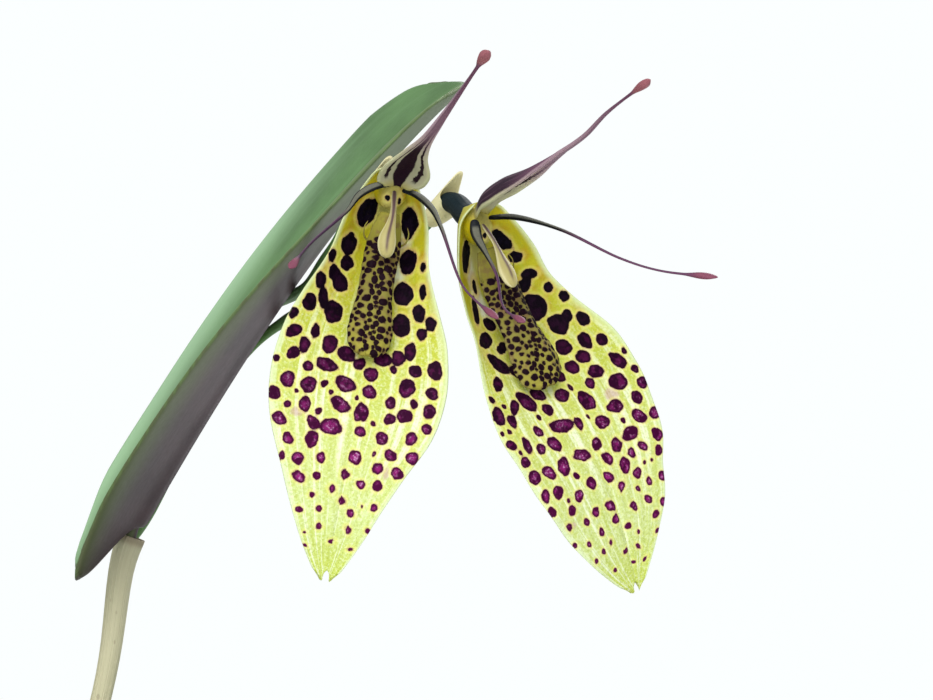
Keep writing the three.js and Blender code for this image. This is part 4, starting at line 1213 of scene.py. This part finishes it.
def make_leaf(stem, material, columns, rows):
    points, distances = midrib_of(stem)
    length = distances[-1]
    headings = unit(np.gradient(points, axis=0))

    def middle(u, v):
        lobe = stem["lobe"] * (1 - u) ** 3 * np.sin(0.75 * math.pi * np.abs(v)) ** 2
        s = u * length - lobe - TIP_ROUNDING * u**10 * v * v
        near = np.clip(s, 0, length)
        heading = np.stack([np.interp(near, distances, column) for column in headings.T], -1)
        point = np.stack([np.interp(near, distances, column) for column in points.T], -1)
        point = point + heading * np.minimum(s, 0)[:, None]
        upward = np.stack([-heading[:, 2], np.zeros(len(u)), heading[:, 0]], -1)
        reach = stem["width"] / 2 * along(LEAF_OUTLINE, u) * v
        roll = stem["roll"] * (LEAF_ROLL_START + (1 - LEAF_ROLL_START) * u) * np.tanh(v * 12)
        lift = np.radians(LEAF_FOLD + LOBE_FOLD * (1 - u) ** 3 + roll)
        groove = -LEAF_GROOVE * np.exp(-((reach / 0.9) ** 2)) * (1 - u)
        ripple = LEAF_RIPPLE * np.sin(u * 11 + v * 3 + stem["turn"]) * v * v
        sag = stem["sag"] * np.sin(math.pi * np.clip((u - 0.1) / 0.75, 0, 1)) * np.clip(v, 0, 1) ** 2
        rise = np.abs(reach) * np.sin(lift) + groove + ripple - sag
        return point + np.outer(reach * np.cos(lift), (0, 1, 0)) + upward * rise[:, None]

    def half_thick(u, v):
        body = LEAF_EDGE_HALF_THICK + (LEAF_HALF_THICK - LEAF_EDGE_HALF_THICK) * (1 - np.abs(v)) ** 1.5
        return body * (1 - TIP_THINNING * u**8)

    def petiole_radius(u):
        return PETIOLE_RADIUS * (1 - 0.3 * u)

    piece = close_up(blade(f"leathery_leaf_{stem['name']}", middle, half_thick, columns, rows, 0.02)[0])
    base = np.array([stem["lean"], 0, stem["height"]])
    piece.data.transform(Matrix.Translation(Vector(base) * MM))
    way = stem_way(stem)
    foot = way.at(1) - way.heading(1) * 1.5
    petiole_way = Way((foot, base, base + headings[0] * PETIOLE_RUN))
    petiole = stalk("petiole", petiole_way, petiole_radius, (1, 0, 0), 20, 24, 0.1)
    keep_values(petiole, face=0.0)
    piece = joined([piece, close_up(petiole)])
    piece.data.transform(stem_place(stem))
    hand_over(piece, material, f"leaf_{stem['name']}")


def seeded(seed):
    """Repeatable random numbers from 0 to 1, the same as those that placed the roots' solid."""
    mask = 0xFFFFFFFF
    state = seed
    while True:
        state = (state + 0x6D2B79F5) & mask
        t = (state ^ (state >> 15)) * (1 | state) & mask
        t = (t + ((t ^ (t >> 7)) * (61 | t) & mask)) & mask ^ t
        yield ((t ^ (t >> 14)) & mask) / 2**32


def root_ways(stems):
    """Ways of the roots: out over the bark from a foot, then down into it."""
    random = seeded(11)
    ways = []
    for i in range(ROOT_COUNT):
        stem = stems[(i * 2 + 1) % len(stems)]
        angle = math.atan2(stem["y"], stem["x"]) - 0.8 + 1.6 * next(random)
        reach = ROOT_REACH[0] + (ROOT_REACH[1] - ROOT_REACH[0]) * next(random)
        rise = ROOT_RISE[0] + (ROOT_RISE[1] - ROOT_RISE[0]) * next(random)
        climb = ((0, 0), (0.35, rise), (0.8, rise / 2), (1.05, -ROOT_DIVE / 3), (0.9, -ROOT_DIVE))
        ways.append(
            [
                (
                    stem["x"] + reach * share * math.cos(angle),
                    stem["y"] + reach * share * math.sin(angle),
                    BARK_TOP + z,
                )
                for share, z in climb
            ]
        )
    return ways


def creeping_ways(stems):
    return [[(stems[i]["x"], stems[i]["y"], BARK_TOP) for i in chain] for chain in (CREEP, CREEP_BRANCH)]


def make_knuckle(stem):
    """The swelling of the rhizome under a stem."""
    place = (stem["x"] * MM, stem["y"] * MM, BARK_TOP * MM)
    bpy.ops.mesh.primitive_uv_sphere_add(
        segments=20,
        ring_count=12,
        radius=KNUCKLE_RADIUS * MM,
        location=place,
    )
    knuckle = bpy.context.object
    bpy.ops.object.transform_apply(location=True, rotation=False, scale=False)
    with editing(knuckle):
        bpy.ops.transform.vertex_random(offset=0.15 * MM, seed=int(stem["turn"]) + 1)
    bpy.ops.object.shade_smooth()
    return knuckle


def make_rhizome(stems, material):
    """Creeping rhizome with rings, a swelling under each stem, and its roots."""

    def knobbly(name, points, size, rings, facing, columns, rows):
        def radius(u):
            return size * (1 + 0.1 * np.sin(u * rings) + 0.06 * np.sin(u * rings * 2.7))

        return close_up(stalk(name, Way(points), radius, facing, columns, rows, 0.01))

    pieces = []
    for way in creeping_ways(stems):
        feet = len(way)
        pieces.append(knobbly("rhizome_way", way, RHIZOME_RADIUS, 26 * feet, (0, 0, 1), 16, 40 * feet))
    for way in root_ways(stems):
        pieces.append(knobbly("root_way", way, ROOT_RADIUS, 50, (0.1, 0.2, 1), 10, 60))
    pieces += [make_knuckle(stem) for stem in stems]
    piece = joined(pieces)
    piece.name = "creeping_rhizome"
    hand_over(piece, material, "rhizome")


def pot_profile():
    """Radius and height along the pot's wall: up its outside, over the rim and down inside."""

    def inside(z):
        widening = (POT_INSIDE_HIGH - POT_INSIDE_LOW) * (z - POT_FLOOR)
        return POT_INSIDE_LOW + widening / (POT_HEIGHT - POT_FLOOR)

    rim_foot = POT_HEIGHT - POT_RIM_HEIGHT
    soft = POT_ROUNDING
    corner = 0.35 * soft
    return (
        (POT_BASE_RADIUS - 1, 0),
        (POT_BASE_RADIUS - 0.3, 0.3),
        (POT_BASE_RADIUS, 1),
        (POT_SHOULDER_RADIUS - 0.4, rim_foot - 2.6),
        (POT_SHOULDER_RADIUS + 0.2, rim_foot - 0.4),
        (POT_SHOULDER_RADIUS + 0.8, rim_foot),
        (POT_RIM_RADIUS - soft, rim_foot),
        (POT_RIM_RADIUS - corner, rim_foot + corner),
        (POT_RIM_RADIUS, rim_foot + soft),
        (POT_RIM_RADIUS, POT_HEIGHT - soft),
        (POT_RIM_RADIUS - corner, POT_HEIGHT - corner),
        (POT_RIM_RADIUS - soft, POT_HEIGHT),
        (inside(POT_HEIGHT) + soft, POT_HEIGHT),
        (inside(POT_HEIGHT) + corner, POT_HEIGHT - corner),
        (inside(POT_HEIGHT), POT_HEIGHT - soft),
        (inside(POT_FLOOR + soft), POT_FLOOR + soft),
        (inside(POT_FLOOR) - soft, POT_FLOOR),
    )


def make_pot(material):
    """Tapered pot with a band at its rim: a disc pulled up ring by ring, then drilled."""
    profile = pot_profile()
    bpy.ops.mesh.primitive_circle_add(vertices=144, radius=profile[0][0] * MM, fill_type="NGON")
    piece = bpy.context.object
    piece.name = "clay_pot"
    with editing(piece):
        for (radius, z), (next_radius, next_z) in zip(profile, profile[1:]):
            bpy.ops.mesh.extrude_region_move(TRANSFORM_OT_translate={"value": (0, 0, (next_z - z) * MM)})
            scale = next_radius / radius
            bpy.ops.transform.resize(value=(scale, scale, 1), center_override=(0, 0, next_z * MM))
        bpy.ops.mesh.select_all(action="SELECT")
        bpy.ops.mesh.normals_make_consistent(inside=False)
    for i in range(DRAIN_COUNT):
        angle = (i + 0.5) * 2 * math.pi / DRAIN_COUNT
        x, y = DRAIN_CIRCLE * math.cos(angle), DRAIN_CIRCLE * math.sin(angle)
        bpy.ops.mesh.primitive_cylinder_add(
            vertices=32,
            radius=DRAIN_RADIUS * MM,
            depth=3 * POT_FLOOR * MM,
            location=(x * MM, y * MM, POT_FLOOR / 2 * MM),
        )
        drill = bpy.context.object
        apply_modifier(piece, "BOOLEAN", operation="DIFFERENCE", solver="EXACT", object=drill)
        bpy.data.objects.remove(drill)
    select_only(piece)
    bpy.ops.object.shade_smooth_by_angle(angle=math.radians(40))
    bpy.ops.object.select_all(action="DESELECT")
    hand_over(piece, material, "pot")


def make_bed(top):
    """The body of bark that fills the pot up to a height."""
    low = POT_FLOOR + BARK_GAP
    widen = (POT_INSIDE_HIGH - POT_INSIDE_LOW) / (POT_HEIGHT - POT_FLOOR)
    bpy.ops.mesh.primitive_cone_add(
        vertices=64,
        radius1=(POT_INSIDE_LOW - 2) * MM,
        radius2=(POT_INSIDE_LOW + widen * (top - POT_FLOOR) - BARK_GAP) * MM,
        depth=(top - low) * MM,
        location=(0, 0, (low + top) / 2 * MM),
    )
    bed = bpy.context.object
    bed.name = "bark_mix"
    bpy.ops.object.transform_apply(location=True, rotation=False, scale=False)
    keep_values(bed, chip=0.1)
    return bed


def chip_pattern(size, seed):
    """A rough block of bark, to be copied."""
    bpy.ops.mesh.primitive_cube_add(size=1, scale=tuple(s * MM for s in size))
    pattern = bpy.context.object
    bpy.ops.object.transform_apply(location=True, rotation=False, scale=True)
    with editing(pattern):
        bpy.ops.mesh.subdivide(number_cuts=3)
        bpy.ops.transform.vertex_random(offset=0.75 * MM, seed=seed)
    apply_modifier(pattern, "SUBSURF", levels=1, render_levels=1)
    return pattern


def make_bark(stems, material):
    """A bed of bark that fills the pot, under many loose chips."""
    random = np.random.default_rng(5)
    bed_top = BARK_TOP - BARK_BED_DROP
    pieces = [make_bed(bed_top)]
    patterns = [chip_pattern(size, seed) for seed, size in enumerate(CHIP_SIZES, 3)]
    ways = [Way(points).at(np.linspace(0, 1, 80))[:, :2] for points in creeping_ways(stems)]
    crowded = np.vstack(ways + [np.array([(stem["x"], stem["y"])]) for stem in stems])
    for i in range(CHIP_COUNT):
        radius = CHIP_SPREAD * math.sqrt((i + 0.5) / CHIP_COUNT)
        angle = i * GOLDEN_TURN + random.uniform(-0.3, 0.3)
        x, y = radius * math.cos(angle), radius * math.sin(angle)
        clear = np.hypot(*(crowded - (x, y)).T).min()
        lift = random.uniform(-0.4, 1.2) - CLEAR_DROP * max(0, 1 - clear / CLEAR_REACH)
        tilts = [random.uniform(-CHIP_TILT, CHIP_TILT) for _ in range(2)]
        turn = Euler((*tilts, random.uniform(0, 2 * math.pi))).to_matrix().to_4x4()
        chip = patterns[i % len(patterns)].copy()
        chip.data = chip.data.copy()
        bpy.context.scene.collection.objects.link(chip)
        chip.data.transform(Matrix.Translation(Vector((x, y, bed_top + lift)) * MM) @ turn)
        keep_values(chip, chip=random.uniform(0, 1))
        pieces.append(chip)
    for pattern in patterns:
        bpy.data.objects.remove(pattern)
    hand_over(joined(pieces), material, "bark")


def set_floor():
    """Pale floor."""
    place = (0, 0, -FLOOR_SINK * MM)
    bpy.ops.mesh.primitive_circle_add(vertices=96, radius=FLOOR_RADIUS * MM, fill_type="NGON", location=place)
    floor = bpy.context.object
    floor.name = "pale_floor"
    skin = Skin("pale_floor")
    cloud = skin.noise(skin.here(), 0.02)
    colour = skin.mix(cloud, "e9ecec", "f3f5f5")
    floor.data.materials.append(skin.finish(colour, 0.8 + cloud * 0.1, skin.bump(cloud, 0.1, 0.2)))


def set_sky():
    """Bright even surroundings, a little paler to the camera than their light is."""
    world = bpy.data.worlds.new("bright_room")
    bpy.context.scene.world = world
    world.use_nodes = True
    nodes, links = world.node_tree.nodes, world.node_tree.links
    nodes.clear()
    seen = nodes.new("ShaderNodeBackground")
    light = nodes.new("ShaderNodeBackground")
    seen.inputs["Color"].default_value = SKY_SEEN
    light.inputs["Color"].default_value = SKY_LIGHT
    light.inputs["Strength"].default_value = SKY_STRENGTH
    path = nodes.new("ShaderNodeLightPath")
    choice = nodes.new("ShaderNodeMixShader")
    output = nodes.new("ShaderNodeOutputWorld")
    links.new(path.outputs["Is Camera Ray"], choice.inputs[0])
    links.new(light.outputs[0], choice.inputs[1])
    links.new(seen.outputs[0], choice.inputs[2])
    links.new(choice.outputs[0], output.inputs["Surface"])


def set_lamps():
    """Two soft lamps."""
    for name, place, size, power in LAMPS:
        bpy.ops.object.light_add(type="AREA", location=place)
        lamp = bpy.context.object
        lamp.name = name
        lamp.data.size = size
        lamp.data.energy = power
        aim = Vector(LAMP_TARGET) - Vector(place)
        lamp.rotation_euler = aim.to_track_quat("-Z", "Y").to_euler()


def set_camera():
    """The camera, where the photograph was taken from."""
    bpy.ops.object.camera_add(location=tuple(c * MM for c in CAMERA_PLACE), rotation=(math.pi / 2, 0, 0))
    camera = bpy.context.object
    camera.data.sensor_width = SENSOR_WIDTH
    camera.data.lens = FOCAL_PIXELS / PHOTO_WIDTH * SENSOR_WIDTH
    camera.data.clip_start = 0.01
    bpy.context.scene.camera = camera
    bpy.context.scene.view_settings.view_transform = "Standard"


for set_up in (set_floor, set_sky, set_lamps, set_camera):
    set_up()

organs = (
    (make_synsepal, synsepal_skin()),
    (make_dorsal, dorsal_skin()),
    (make_petals, petal_skin()),
    (make_lip, lip_skin()),
    (make_column, column_skin()),
    (make_ovary, ovary_skin()),
    (make_bract, bract_skin()),
    (make_peduncle, peduncle_skin()),
)
for bloom in BLOOMS:
    for make_organ, material in organs:
        make_organ(bloom, material)

stems = [dict(zip(STEM_FIELDS, row)) for row in STEMS]
leathery = leaf_skin()
sheathing = sheath_skin()
for stem in stems:
    fine = stem["name"] == "flowering"
    make_leaf(stem, leathery, 40 if fine else 24, 120 if fine else 72)
    make_stem(stem, sheathing)
make_rhizome(stems, root_skin())
make_bark(stems, bark_skin())
make_pot(clay_skin())
